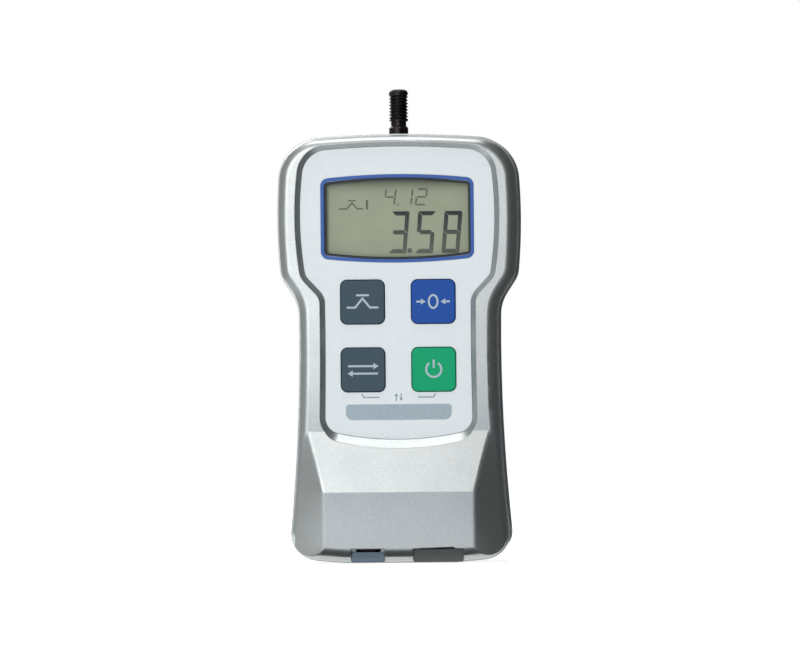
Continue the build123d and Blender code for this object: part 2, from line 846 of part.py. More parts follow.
def load_cell():
    """S-shaped beam: two slots from opposite sides and a bore through its middle."""
    half_width = cell_width / 2
    body = block(both_sides(half_width), (cell_front_y, cell_back_y), (cell_bottom_z, cell_top_z))
    for side, z in ((1, cell_top_z - cell_arm), (-1, cell_bottom_z + cell_arm)):
        blind_end = -side * (half_width - cell_slot_land)
        open_end = side * (half_width + over)
        body -= block(
            sorted((blind_end, open_end)), (cell_front_y, cell_back_y),
            (z - cell_slot / 2, z + cell_slot / 2))
    body -= pin(cell_bore_radius, 0, cell_middle_z, cell_front_y, cell_back_y)
    body -= post(
        shaft_spigot_radius + shaft_hole_gap, 0, shaft_y,
        cell_top_z - shaft_spigot_length - spigot_end_gap, cell_top_z)
    body -= post(
        cell_bolt_radius + screw_clearance, 0, shaft_y, cell_bottom_z, cell_bottom_z + cell_bolt_grip)
    return body


def strain_gauges():
    """Four foils on the outsides of the thin walls beside the bore."""
    foils = []
    for side in (-1, 1):
        outer_x = side * (cell_width / 2 + gauge_thickness / 2)
        for dz in both_sides(gauge_pitch / 2):
            foil = Box(gauge_thickness, gauge_width, gauge_height)
            foils.append(Pos(outer_x, shaft_y, cell_middle_z + dz) * foil)
    return group(foils)


def load_cell_bolt():
    seat_z = cell_bottom_z - chassis_shelf_thickness
    shank = post(cell_bolt_radius, 0, shaft_y, seat_z, cell_bottom_z + cell_bolt_grip - screw_clearance)
    head = post(cell_bolt_head_radius, 0, shaft_y, seat_z - cell_bolt_head_height, seat_z)
    hexagon = RegularPolygon(cell_bolt_socket_radius, 6)
    recess = extrude(hexagon, cell_bolt_head_height / 2)
    return shank + head - Pos(0, shaft_y, seat_z - cell_bolt_head_height) * recess


def chassis():
    """Upright plate with two shelves: the upper holds the bush, the lower carries the load cell."""
    plate = block(
        both_sides(chassis_half_width), (chassis_front_y, chassis_back_y),
        (chassis_bottom_z, chassis_top_z))
    shelves = ((shelf_top_z, shaft_y - bush_flange_radius), (cell_bottom_z, cell_front_y))
    for shelf_z, shelf_front_y in shelves:
        plate += block(
            both_sides(chassis_shelf_half_width), (shelf_front_y, chassis_back_y),
            (shelf_z - chassis_shelf_thickness, shelf_z))
    plate -= post(bush_radius, 0, shaft_y, shelf_top_z - chassis_shelf_thickness, shelf_top_z)
    plate -= post(
        cell_bolt_radius + screw_clearance, 0, shaft_y,
        cell_bottom_z - chassis_shelf_thickness, cell_bottom_z)
    for x, z in chassis_screw_places():
        plate -= pin(chassis_screw_radius + screw_clearance, x, z, chassis_front_y, chassis_back_y)
    return plate


def chassis_screws():
    screws = []
    for x, z in chassis_screw_places():
        shank = pin(chassis_screw_radius, x, z, chassis_front_y, chassis_screw_end_y)
        head_front = chassis_front_y - chassis_screw_head_height
        head = pin(chassis_screw_head_radius, x, z, head_front, chassis_front_y)
        screws.append(shank + head)
    return group(screws)


def mounting_inserts():
    """Threaded bushes from the chassis to the outside of the back."""
    inserts = []
    outer_y = back_y - insert_setback
    for x, z in insert_places():
        bush = pin(insert_radius, x, z, chassis_back_y, outer_y)
        inserts.append(bush - pin(insert_bore_radius, x, z, outer_y - insert_bore_depth, outer_y))
    return group(inserts)


# ---------------------------------------------------------------------------------------------
# Ports and sockets
# ---------------------------------------------------------------------------------------------
def port_cover(x_range, setback, top_z):
    """Cover with a rounded lower edge, which is its hinge."""
    face_y = front_y + setback
    hinge_radius = cover_thickness / 2
    left = x_range[0] + port_gap
    right = x_range[1] - port_gap
    hinge_z = cover_bottom_z + hinge_radius
    plate = block((left, right), (face_y, face_y + cover_thickness), (hinge_z, top_z))
    knuckle = crosswise(hinge_radius, face_y + hinge_radius, hinge_z, left, right)
    return plate + knuckle


def left_port_cover():
    return port_cover(left_port, left_cover_setback, left_cover_top_z)


def right_port_cover():
    return port_cover(right_port, right_cover_setback, port_top_z - port_gap)


def socket(x_range, width):
    """Metal socket with a tongue inside, open to the front."""
    middle_x = middle_of(x_range)
    body = socket_block(middle_x, width)
    inner_z = (socket_bottom_z + socket_wall, socket_bottom_z + socket_height - socket_wall)
    half = width / 2 - socket_wall
    inner_back_y = port_back_y + socket_depth
    body -= block(
        (middle_x - half, middle_x + half), (port_back_y - over, inner_back_y), inner_z)
    tongue_z = middle_of(inner_z)
    tongue_half = half - socket_tongue_margin
    tongue = block(
        (middle_x - tongue_half, middle_x + tongue_half),
        (port_back_y + socket_tongue_margin, inner_back_y + socket_wall),
        (tongue_z - socket_tongue_thickness / 2, tongue_z + socket_tongue_thickness / 2))
    return body + tongue


def socket_board():
    bottom = socket_bottom_z + socket_height
    top = bottom + socket_board_thickness
    wall_back_y = port_back_y + port_wall
    return block(
        (left_port[0] + port_wall, right_port[1] - port_wall),
        (wall_back_y + socket_board_gap, wall_back_y + socket_depth + socket_board_overhang),
        (bottom, top))


# ---------------------------------------------------------------------------------------------
# Batteries
# ---------------------------------------------------------------------------------------------
def battery_z(level):
    return bay_middle_z + level * battery_pitch / 2


def battery_tray():
    outer = block(
        both_sides(bay_half_length + bay_wall), (tray_front_y, rear_inner_y),
        (bay_middle_z - bay_half_height - bay_wall, bay_middle_z + bay_half_height + bay_wall))
    inner = block(
        both_sides(bay_half_length), (tray_front_y + bay_wall, rear_inner_y + over),
        (bay_middle_z - bay_half_height, bay_middle_z + bay_half_height))
    return outer - inner


def battery(level, nub_side):
    z = battery_z(level)
    half = battery_length / 2
    nub_end = nub_side * (half + battery_nub_length)
    can = crosswise(battery_radius, battery_y, z, -half, half)
    can = fillet(can.edges().filter_by(GeomType.CIRCLE), battery_edge_radius)
    low, high = sorted((nub_side * (half - over), nub_end))
    return can + crosswise(battery_nub_radius, battery_y, z, low, high)


def contact(level, outer_x, inner_x):
    """Square contact against an end wall of the tray."""
    half = contact_size / 2
    z = battery_z(level)
    return block(
        sorted((outer_x, inner_x)), (battery_y - half, battery_y + half), (z - half, z + half))


def battery_plates():
    """Flat contacts at the positive ends."""
    reach = battery_length / 2 + battery_nub_length + battery_gap
    return group(
        contact(level, side * bay_half_length, side * reach) for level, side in ((1, 1), (-1, -1)))


def battery_springs():
    """Conical contacts at the negative ends, as closed cones on a square foot."""
    springs = []
    for level, side in ((1, -1), (-1, 1)):
        foot_x = side * (bay_half_length - contact_thickness)
        tip_x = side * (battery_length / 2 + battery_gap)
        foot = contact(level, side * bay_half_length, foot_x)
        length = abs(foot_x - tip_x)
        cone = Cone(spring_foot_radius, spring_tip_radius, length, rotation=(0, -90 * side, 0))
        springs.append(foot + Pos((foot_x + tip_x) / 2, battery_y, battery_z(level)) * cone)
    return group(springs)


def battery_door():
    """Door with a rounded lower edge that turns on two pegs."""
    half_length = door_half_length()
    low, high = door_z_range()
    axis_y, axis_z = door_axis()
    leaf = block(both_sides(half_length), (back_y - door_thickness, back_y), (axis_z, high))
    knuckle = crosswise(door_thickness / 2, axis_y, axis_z, -half_length, half_length)
    peg_end = half_length + door_peg_length
    pegs = crosswise(door_peg_radius, axis_y, axis_z, -peg_end, peg_end)
    grip_top = high - door_grip_setback
    grip = block(
        both_sides(door_grip_half_width), (back_y - door_grip_depth, back_y + over),
        (grip_top - door_grip_height, grip_top))
    return leaf + knuckle + pegs - grip


def rear_label():
    flat = Rectangle(label_width - 2 * label_gap, label_height - 2 * label_gap)
    seat_y = back_y - label_recess
    return slab(Pos(0, insert_middle_z) * flat, seat_y, seat_y + label_thickness)


# ---------------------------------------------------------------------------------------------
# Write every node
# ---------------------------------------------------------------------------------------------
nodes = {
    "front_case": front_case,
    "rear_case": rear_case,
    "case_seal": case_seal,
    "case_screws": case_screws,
    "front_overlay": front_overlay,
    "window_frame": window_frame,
    "display_window": display_window,
    "lcd_glass": lcd_glass,
    "lcd_holder": lcd_holder,
    "lcd_contact_strips": lcd_contact_strips,
    "key_mat": key_mat,
    "main_board": main_board,
    "board_screws": board_screws,
    "board_chips": board_chips,
    "measuring_shaft": measuring_shaft,
    "shaft_lock_nut": shaft_lock_nut,
    "shaft_seal": shaft_seal,
    "guide_bush": guide_bush,
    "load_cell": load_cell,
    "strain_gauges": strain_gauges,
    "load_cell_bolt": load_cell_bolt,
    "chassis": chassis,
    "chassis_screws": chassis_screws,
    "mounting_inserts": mounting_inserts,
    "left_port_cover": left_port_cover,
    "right_port_cover": right_port_cover,
    "socket_board": socket_board,
    "battery_tray": battery_tray,
    "battery_springs": battery_springs,
    "battery_plates": battery_plates,
    "battery_door": battery_door,
    "rear_label": rear_label,
}

os.makedirs("parts", exist_ok=True)
for name, build in nodes.items():
    export_step(build(), f"parts/{name}.step")
for name, x, z in key_places():
    export_step(key(x, z), f"parts/{name}.step")
export_step(socket(left_port, adapter_socket_width), "parts/adapter_socket.step")
export_step(socket(right_port, data_socket_width), "parts/data_socket.step")
export_step(battery(1, 1), "parts/battery_upper.step")
export_step(battery(-1, -1), "parts/battery_lower.step")
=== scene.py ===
# %% [markdown]
# # A handheld force gauge
# The gauge is a painted metal case with a white printed front plate, a display behind a blue
# framed window, four coloured keys, and a steel stud at the top that pushes or pulls on the load.
# The solids are loaded first. Each one then gets its finish, and the pieces that need more than
# a solid can say, such as threads, digits and springs, are made here.

# %% Load the solids
from math import cos, pi, radians, sin

import bmesh
import bpy
from mathutils import Matrix, Vector


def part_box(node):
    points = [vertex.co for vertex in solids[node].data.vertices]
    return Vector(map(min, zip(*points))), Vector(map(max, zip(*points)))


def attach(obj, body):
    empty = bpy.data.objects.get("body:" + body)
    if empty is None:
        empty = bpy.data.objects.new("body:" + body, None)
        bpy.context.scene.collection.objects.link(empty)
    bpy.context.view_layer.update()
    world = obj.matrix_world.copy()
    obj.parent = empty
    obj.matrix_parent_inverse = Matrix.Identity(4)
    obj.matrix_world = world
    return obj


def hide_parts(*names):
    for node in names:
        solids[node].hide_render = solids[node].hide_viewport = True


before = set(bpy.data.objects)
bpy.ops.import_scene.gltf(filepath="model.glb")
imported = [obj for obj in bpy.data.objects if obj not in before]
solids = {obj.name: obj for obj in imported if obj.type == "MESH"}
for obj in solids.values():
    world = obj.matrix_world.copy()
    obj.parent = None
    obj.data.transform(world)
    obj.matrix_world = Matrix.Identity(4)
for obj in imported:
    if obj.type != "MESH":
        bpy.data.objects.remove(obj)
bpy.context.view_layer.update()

mm = 0.001


def box_mm(node):
    """The lowest and the highest corner of a solid, in millimetres."""
    return [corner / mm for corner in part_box(node)]


def new_object(name, data):
    """Put a mesh, a lamp or a camera into the scene."""
    added = bpy.data.objects.new(name, data)
    bpy.context.scene.collection.objects.link(added)
    return added


# %% [markdown]
# ## How a finish is made
# Every finish is a Principled shader fed by small patterns. They are measured in millimetres on
# the object itself, so a grain keeps its real size on every piece.

# %% Nodes and sums
mm_per_metre = 1000


def give(tree, node, inputs):
    """Fill inputs of a node. Each value is a socket to link or a plain value."""
    for key, value in inputs.items():
        if isinstance(value, bpy.types.NodeSocket):
            tree.links.new(value, node.inputs[key])
        else:
            node.inputs[key].default_value = value


def add_node(tree, kind, inputs=None, **settings):
    """Add a node with its settings and inputs, and return its outputs."""
    node = tree.nodes.new(kind)
    for setting, value in settings.items():
        setattr(node, setting, value)
    give(tree, node, inputs or {})
    return node.outputs


def maths(tree, operation, *values):
    """One sum in a tree. Each value is a socket or a number."""
    return add_node(tree, "ShaderNodeMath", dict(enumerate(values)), operation=operation)["Value"]


def place(tree):
    """Where a point lies on its piece, in metres."""
    return add_node(tree, "ShaderNodeTexCoord")["Object"]


def along(tree, axis):
    """How far a point lies along an axis of its piece, in metres."""
    return add_node(tree, "ShaderNodeSeparateXYZ", {"Vector": place(tree)})[axis]

# %% Colours and patterns
def colour(code):
    """Turn a screen colour such as "a0b0c0" into light values."""
    values = []
    for start in (0, 2, 4):
        level = int(code[start:start + 2], 16) / 255
        values.append(level / 12.92 if level <= 0.04045 else ((level + 0.055) / 1.055) ** 2.4)
    return (*values, 1.0)


finish = {}


def new_finish(name):
    """Keep a new material under its name, and return its tree and its Principled shader."""
    finish[name] = bpy.data.materials.new(name)
    finish[name].use_nodes = True
    tree = finish[name].node_tree
    return tree, tree.nodes["Principled BSDF"]


def grain(tree, grain_mm, detail=2.0, stretch=(1, 1, 1)):
    """Cloudy noise, with stretch below 1 where the grain runs long."""
    sizing = add_node(tree, "ShaderNodeMapping", {"Vector": place(tree), "Scale": stretch})
    return add_node(tree, "ShaderNodeTexNoise", {
        "Vector": sizing["Vector"], "Scale": mm_per_metre / grain_mm, "Detail": detail})["Fac"]


def flakes(tree, flake_mm):
    """A random value for each tiny cell, like metal flakes."""
    cells = add_node(tree, "ShaderNodeTexVoronoi", {
        "Vector": place(tree), "Scale": mm_per_metre / flake_mm})
    return add_node(tree, "ShaderNodeSeparateColor", {"Color": cells["Color"]})["Red"]


def between(tree, pattern, low, high, start=0.3, end=0.7):
    """Spread a pattern over a range of numbers."""
    return add_node(tree, "ShaderNodeMapRange", {
        "Value": pattern, "From Min": start, "From Max": end,
        "To Min": low, "To Max": high})["Result"]


def shades(tree, pattern, dark, light, start=0.3, end=0.7):
    """Spread a pattern between two colours."""
    ramp = add_node(tree, "ShaderNodeValToRGB", {"Fac": pattern})["Color"]
    first, last = ramp.node.color_ramp.elements
    first.position, last.position = start, end
    first.color, last.color = colour(dark), colour(light)
    return ramp


def relief(tree, shader, pattern, depth_mm, strength=1.0, edge_mm=0.0):
    """Let a pattern stand up from the surface, and round sharp edges by edge_mm."""
    inputs = {"Strength": strength, "Distance": depth_mm * mm, "Height": pattern}
    if edge_mm:
        edges = add_node(tree, "ShaderNodeBevel", {"Radius": edge_mm * mm}, samples=4)
        inputs["Normal"] = edges["Normal"]
    give(tree, shader, {"Normal": add_node(tree, "ShaderNodeBump", inputs)["Normal"]})


def plain_finish(name, dark, light, grain_mm, rough, relief_mm, metallic=0.0, stretch=(1, 1, 1),
                 edge_mm=0.0, gloss=0.5):
    """The common case: one grain drives the colour, the roughness and the relief."""
    tree, shader = new_finish(name)
    pattern = grain(tree, grain_mm, detail=3.0, stretch=stretch)
    relief(tree, shader, pattern, relief_mm, edge_mm=edge_mm)
    give(tree, shader, {
        "Base Color": shades(tree, pattern, dark, light),
        "Roughness": between(tree, pattern, *rough),
        "Metallic": metallic, "Specular IOR Level": gloss})

# %% [markdown]
# ## The silver paint
# The case is sprayed with a satin silver: tiny aluminium flakes under a clear coat. Two patterns
# make it: the flakes change the tone and tilt a little, and a wide, faint cloud changes the
# roughness. The Bevel node rounds the sharp edges of the casting.

# %% Silver paint
flake_mm, cloud_mm = 0.16, 9.0


def silver_paint(name, dark, light):
    tree, shader = new_finish(name)
    speckle = flakes(tree, flake_mm)
    relief(tree, shader, speckle, 0.004, strength=0.5, edge_mm=0.45)
    give(tree, shader, {
        "Base Color": shades(tree, speckle, dark, light, 0.0, 1.0),
        "Roughness": between(tree, grain(tree, cloud_mm), 0.30, 0.34),
        "Metallic": 0.85, "Coat Weight": 0.15, "Coat Roughness": 0.2})


silver_paint("case_silver", "a4a9a9", "b9bdbc")
silver_paint("door_silver", "a1a6a6", "b6bab9")
print("made", list(finish))

# %% [markdown]
# ## The window and the display
# The window is clear acrylic. A real pane lets light in and out, which a path tracer handles
# slowly, so this one is mostly see-through by its alpha, and turns glossier when it is seen
# aslant. The display glass is a grey green that is a touch darker in patches. The housing stands
# in front of it, so a painted shade darkens the colour of its upper edge and its left edge.

# %% Window and display finishes
acrylic_ior = 1.49
shade_power = 1.6  # above 1, the shade fades out softly at its lower end


def clear_window():
    tree, shader = new_finish("window_clear")
    haze = grain(tree, 14.0)
    slope = add_node(tree, "ShaderNodeLayerWeight", {"Blend": 0.5})
    give(tree, shader, {
        "Base Color": shades(tree, haze, "1c2423", "2a3231"),
        "Roughness": between(tree, haze, 0.06, 0.12),
        "Alpha": between(tree, slope["Facing"], 0.03, 0.4, 0.1, 1.0),
        "IOR": acrylic_ior})


def display_glass():
    tree, shader = new_finish("display_grey")
    patches = grain(tree, 6.0)
    low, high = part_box("display_window")
    # Painted shade: the colour darkens towards the upper edge and the left edge, where the
    # housing stands in front of the glass.
    upper = between(tree, along(tree, "Z"), 0.0, 0.8, high.z - 5.4 * mm, high.z - 1.3 * mm)
    left = between(tree, along(tree, "X"), 0.6, 0.0, low.x + 0.3 * mm, low.x + 1.6 * mm)
    shade = maths(tree, "MAXIMUM", maths(tree, "POWER", upper, shade_power), left)
    mix = add_node(tree, "ShaderNodeMix", {
        "Factor": shade, "A": shades(tree, patches, "b0ba9d", "b8c1a5"), "B": colour("3f483f")},
        data_type="RGBA")
    relief(tree, shader, patches, 0.002)
    give(tree, shader, {
        "Base Color": mix["Result"], "Roughness": between(tree, patches, 0.45, 0.55)})


clear_window()
display_glass()
print("finishes for the window and the display")

# %% [markdown]
# ## Plate, keys, covers, metals and boards
# The plate is polycarbonate sheet printed on its rear, so it looks white with a very fine velvet
# grain. The keys are moulded in colour with a matt, lightly textured top. The other parts are
# what a gauge has: black oxide on the shaft, a bronze bush, bright screws, a green board, an
# aluminium load cell with brushed sides, and black nitrile rubber. Each row gives the dark and
# the light shade, the grain in millimetres, the range of the roughness, the height of the
# relief in millimetres, and anything that sets the finish apart.

# %% Finishes with one grain
key_top = {"edge_mm": 0.15, "gloss": 0.2}
moulded = {"edge_mm": 0.15}
brushed = {"metallic": 1.0, "stretch": (0.06, 1, 1), "edge_mm": 0.2}
plain_rows = {
    "plate_white": ("e8f1f4", "f2f9fb", 0.35, (0.38, 0.5), 0.004, {}),
    "frame_blue": ("104ba2", "1d60b4", 0.4, (0.3, 0.42), 0.004, {}),
    "key_slate": ("3d505c", "475b67", 0.3, (0.42, 0.55), 0.01, key_top),
    "key_blue": ("1a4ba0", "2257b0", 0.3, (0.4, 0.52), 0.01, key_top),
    "key_green": ("00a26c", "02b079", 0.3, (0.4, 0.52), 0.01, key_top),
    "cover_grey": ("66798a", "748797", 0.4, (0.5, 0.65), 0.02, moulded),
    "cover_dark": ("525655", "606362", 0.4, (0.5, 0.65), 0.02, moulded),
    "seal_black": ("0c0d0e", "17181a", 0.6, (0.6, 0.75), 0.01, {}),
    "holder_black": ("141517", "1f2124", 0.5, (0.5, 0.65), 0.01, {}),
    "tray_black": ("191b1d", "26292c", 0.5, (0.45, 0.6), 0.02, moulded),
    "mat_grey": ("5c6166", "6f757a", 0.8, (0.65, 0.8), 0.01, {}),
    "label_grey": ("c3c8ca", "d2d6d8", 0.3, (0.35, 0.5), 0.004, {}),
    "board_green": ("0e4a2c", "176039", 1.2, (0.3, 0.45), 0.01, {}),
    "chip_black": ("121315", "202224", 0.3, (0.45, 0.6), 0.01, {"edge_mm": 0.1}),
    "shaft_black": ("1b1717", "34302f", 0.8, (0.28, 0.42), 0.006,
                    {"metallic": 0.75, "edge_mm": 0.12}),
    "screw_steel": ("8c9196", "aeb3b8", 0.3, (0.25, 0.4), 0.004,
                    {"metallic": 1.0, "edge_mm": 0.1}),
    "bush_brass": ("8f7a4c", "ac945e", 0.6, (0.3, 0.45), 0.004, {"metallic": 1.0}),
    "cell_aluminium": ("9a9fa3", "bcc1c4", 0.25, (0.3, 0.45), 0.006, brushed),
    "gauge_foil": ("7c4d1c", "a5702f", 0.3, (0.35, 0.5), 0.004, {"metallic": 0.4}),
    "chassis_steel": ("7f868b", "a0a7ab", 1.6, (0.35, 0.5), 0.006,
                      {"metallic": 1.0, "edge_mm": 0.2}),
    "socket_metal": ("8d9297", "b5babe", 0.5, (0.25, 0.4), 0.004,
                     {"metallic": 1.0, "edge_mm": 0.08}),
    "contact_steel": ("9b9fa2", "c2c6c9", 0.4, (0.22, 0.35), 0.004, {"metallic": 1.0}),
    "mask_ink": ("1c2733", "2a3644", 0.5, (0.45, 0.55), 0.003, {}),
    "legend_ink": ("b0c1cd", "bccbd6", 0.5, (0.5, 0.6), 0.003, {}),
    "plate_ink": ("889aa3", "94a5ad", 0.5, (0.5, 0.6), 0.003, {}),
    "field_ink": ("a2b3bb", "afbec8", 0.8, (0.45, 0.55), 0.003, {}),
    "label_ink": ("5a6166", "6a7176", 0.5, (0.45, 0.55), 0.003, {}),
}
for name, (*row, extras) in plain_rows.items():
    plain_finish(name, *row, **extras)
print(len(finish), "finishes so far")

# %% [markdown]
# ## Batteries
# A cell is a steel can in a printed sleeve: a pale body and a darker band at the positive end,
# with bare steel at both ends. The band is placed along the cell, and the two cells lie head to
# tail.

# %% Battery sleeve
cell_half_length = 24.75
bare_steel, sleeve_pale, sleeve_band = "b9bdc0", "c9cfd2", "3c5a6e"
sleeve_steps = ((0.035, sleeve_pale), (0.80, sleeve_band), (0.965, bare_steel))


def battery_sleeve(name, positive_side):
    tree, shader = new_finish(name)
    half = cell_half_length * mm * positive_side
    ramp = add_node(tree, "ShaderNodeValToRGB", {
        "Fac": between(tree, along(tree, "X"), 0.0, 1.0, -half, half)})["Color"]
    ramp.node.color_ramp.interpolation = "CONSTANT"
    stops = ramp.node.color_ramp.elements
    stops[0].color = colour(bare_steel)
    stops.remove(stops[1])
    for position, code in sleeve_steps:
        stops.new(position).color = colour(code)
    wear = grain(tree, 2.0)
    relief(tree, shader, wear, 0.003, strength=0.3)
    give(tree, shader, {
        "Base Color": ramp, "Roughness": between(tree, wear, 0.22, 0.34), "Metallic": 0.3})


battery_sleeve("battery_sleeve_upper", 1)
battery_sleeve("battery_sleeve_lower", -1)
print("sleeves for", cell_half_length * 2, "mm long cells")

# %% Give every solid its finish
finish_of = {
    "case_silver": ["front_case", "rear_case"],
    "door_silver": ["battery_door"],
    "plate_white": ["front_overlay"],
    "frame_blue": ["window_frame"],
    "window_clear": ["display_window"],
    "display_grey": ["lcd_glass"],
    "holder_black": ["lcd_holder", "adapter_socket"],
    "mat_grey": ["lcd_contact_strips", "key_mat"],
    "key_slate": ["peak_key", "unit_key"],
    "key_blue": ["zero_key"],
    "key_green": ["power_key"],
    "board_green": ["main_board", "socket_board"],
    "chip_black": ["board_chips"],
    "screw_steel": ["board_screws", "chassis_screws", "case_screws", "load_cell_bolt",
                    "shaft_lock_nut"],
    "shaft_black": ["measuring_shaft"],
    "seal_black": ["case_seal", "shaft_seal"],
    "bush_brass": ["guide_bush", "mounting_inserts"],
    "cell_aluminium": ["load_cell"],
    "gauge_foil": ["strain_gauges"],
    "chassis_steel": ["chassis"],
    "cover_grey": ["left_port_cover"],
    "cover_dark": ["right_port_cover"],
    "socket_metal": ["data_socket"],
    "tray_black": ["battery_tray"],
    "battery_sleeve_upper": ["battery_upper"],
    "battery_sleeve_lower": ["battery_lower"],
    "contact_steel": ["battery_plates", "battery_springs"],
    "label_grey": ["rear_label"],
}


def coat(piece, material):
    """Put one finish on a whole piece."""
    if not piece.data.materials:
        piece.data.materials.append(material)
    for slot in piece.material_slots:
        slot.material = material


for name, nodes in finish_of.items():
    for node in nodes:
        coat(solids[node], finish[name])
print("solids without a finish:", sorted(set(solids) - set(sum(finish_of.values(), []))))

# %% [markdown]
# ## The tools for new pieces
# A new piece is a mesh in metres at its place on the gauge. `add_piece` names it, coats it and
# lets it ride on the body that carries it. `grow` runs a Geometry Nodes tree and keeps the plain
# mesh that comes out of it.

# %% Adding pieces
def mesh_of(shape, name, turn_out=True):
    """Turn a bmesh into a mesh, with its faces looking outwards, and free it."""
    if turn_out:
        bmesh.ops.recalc_face_normals(shape, faces=shape.faces)
    mesh = bpy.data.meshes.new(name)
    shape.to_mesh(mesh)
    shape.free()
    return mesh


def add_piece(name, mesh, paint, body="base", replaced=(), smooth_angle=None):
    piece = new_object(name, mesh)
    mesh.materials.clear()
    mesh.materials.append(finish[paint])
    for face in mesh.polygons:
        face.material_index = 0
    if smooth_angle is not None:
        mesh.shade_smooth()
        mesh.set_sharp_from_angle(angle=radians(smooth_angle))
    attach(piece, body)
    if replaced:
        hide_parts(*replaced)
    print(name, "with", len(mesh.polygons), "faces, rides on", body)


def add_block(shape, size, middle):
    """Add a block to a shape. Its size and its middle are in millimetres."""
    corners = bmesh.ops.create_cube(shape, size=1.0)["verts"]
    bmesh.ops.scale(shape, vec=[value * mm for value in size], verts=corners)
    bmesh.ops.translate(shape, vec=[value * mm for value in middle], verts=corners)

# %% Running trees
def new_tree(name, sizes, objects=()):
    """A tree with named number inputs, object inputs and a Finish input."""
    tree = bpy.data.node_groups.new(name, "GeometryNodeTree")
    sockets = [("Geometry", "Geometry")] + [(size, "Float") for size in sizes]
    sockets += [(part, "Object") for part in objects] + [("Finish", "Material")]
    for socket, kind in sockets:
        tree.interface.new_socket(socket, in_out="INPUT", socket_type="NodeSocket" + kind)
    tree.interface.new_socket("Geometry", in_out="OUTPUT", socket_type="NodeSocketGeometry")
    return tree, add_node(tree, "NodeGroupInput"), tree.nodes.new("NodeGroupOutput")


def finish_tree(tree, given, result, geometry):
    """End the tree with Realize Instances and Set Material."""
    realize = add_node(tree, "GeometryNodeRealizeInstances", {"Geometry": geometry})
    dress = add_node(tree, "GeometryNodeSetMaterial", {
        "Geometry": realize["Geometry"], "Material": given["Finish"]})
    give(tree, result, {"Geometry": dress["Geometry"]})


def grow(tree, paint, lengths_mm, others, start=None):
    """Run a tree with the given values and return the plain mesh that it makes."""
    values = {name: length * mm for name, length in lengths_mm.items()}
    values |= {"Finish": finish[paint], **others}
    holder = new_object("holder", start or bpy.data.meshes.new("seed"))
    modifier = holder.modifiers.new("grow", "NODES")
    modifier.node_group = tree
    for socket in tree.interface.items_tree:
        if socket.in_out == "INPUT" and socket.name in values:
            modifier[socket.identifier] = values[socket.name]
    holder.data.update()
    ready = holder.evaluated_get(bpy.context.evaluated_depsgraph_get())
    mesh = bpy.data.meshes.new_from_object(ready)
    bpy.data.objects.remove(holder)
    return mesh

# %% [markdown]
# ## The threaded stud
# The stud has a metric thread, one turn for each millimetre. A thread is a rule: at each angle
# and height, the surface stands a little in or out. So a tree rolls a flat grid into a tube and
# sets its radius by the phase, which is the height in turns less the angle in turns. The depth
# fades out at both ends.

# %% Thread tree
flank_slope, flank_start = 1.35, 0.15  # how fast the flank falls, and how wide the crest is
whole_turns = 4.0  # keeps the phase above zero at every angle
merge_distance = 0.001


def thread_tree():
    tree, given, result = new_tree(
        "thread", ["Radius", "Depth", "Pitch", "Length", "Run Out", "Turn Sides", "Height Steps"])

    def sum_of(operation, *values):
        return maths(tree, operation, *values)

    grid = add_node(tree, "GeometryNodeMeshGrid", {
        "Size X": 1.0, "Size Y": 1.0,
        "Vertices X": given["Turn Sides"], "Vertices Y": given["Height Steps"]})
    position = add_node(tree, "GeometryNodeInputPosition")["Position"]
    split = add_node(tree, "ShaderNodeSeparateXYZ", {"Vector": position})
    turn = split["X"]
    height = sum_of("MULTIPLY", sum_of("ADD", split["Y"], 0.5), given["Length"])
    turns_up = sum_of("DIVIDE", height, given["Pitch"])
    phase = sum_of("SUBTRACT", turns_up, turn)
    phase = sum_of("FRACT", sum_of("ADD", phase, whole_turns))
    wave = sum_of("ABSOLUTE", sum_of("SUBTRACT", sum_of("MULTIPLY", phase, 2.0), 1.0))
    flank = sum_of("SUBTRACT", sum_of("MULTIPLY", wave, flank_slope), flank_start)
    flank = sum_of("MINIMUM", sum_of("MAXIMUM", flank, 0.0), 1.0)
    to_end = sum_of("MINIMUM", height, sum_of("SUBTRACT", given["Length"], height))
    fade = sum_of("MINIMUM", sum_of("DIVIDE", to_end, given["Run Out"]), 1.0)
    cut = sum_of("MULTIPLY", sum_of("MULTIPLY", flank, fade), given["Depth"])
    radius = sum_of("SUBTRACT", given["Radius"], cut)
    angle = sum_of("MULTIPLY", turn, 2 * pi)
    point = add_node(tree, "ShaderNodeCombineXYZ", {
        "X": sum_of("MULTIPLY", radius, sum_of("COSINE", angle)),
        "Y": sum_of("MULTIPLY", radius, sum_of("SINE", angle)), "Z": height})
    roll = add_node(tree, "GeometryNodeSetPosition", {
        "Geometry": grid["Mesh"], "Position": point["Vector"]})
    close = add_node(tree, "GeometryNodeMergeByDistance", {
        "Geometry": roll["Geometry"], "Distance": merge_distance * mm})
    finish_tree(tree, given, result, close["Geometry"])
    return tree


threads = thread_tree()

# %% Turned bodies
least_radius = 0.001


def six_sided(angle):
    """How far a hexagon's side stands in at an angle, as a share of its corner radius."""
    return cos(pi / 6) / cos(angle % (pi / 3) - pi / 6)


def turned(profile, sides=64):
    """Turn (radius, height) points, in mm, into a round body. A third value marks a hexagon."""
    shape = bmesh.new()
    rings = []
    for radius, height, *hexagon in profile:
        if radius < least_radius:
            rings.append([shape.verts.new((0, 0, height * mm))])
            continue
        ring = []
        for k in range(sides):
            angle = 2 * pi * k / sides
            reach = radius * (six_sided(angle) if hexagon else 1) * mm
            ring.append(shape.verts.new((reach * cos(angle), reach * sin(angle), height * mm)))
        rings.append(ring)
    for lower, upper in zip(rings, rings[1:]):
        for k in range(sides):
            corners = [lower[k % len(lower)], lower[(k + 1) % len(lower)],
                       upper[(k + 1) % len(upper)], upper[k % len(upper)]]
            corners = list(dict.fromkeys(corners))
            if len(corners) > 2:
                shape.faces.new(corners)
    return mesh_of(shape, "turned")


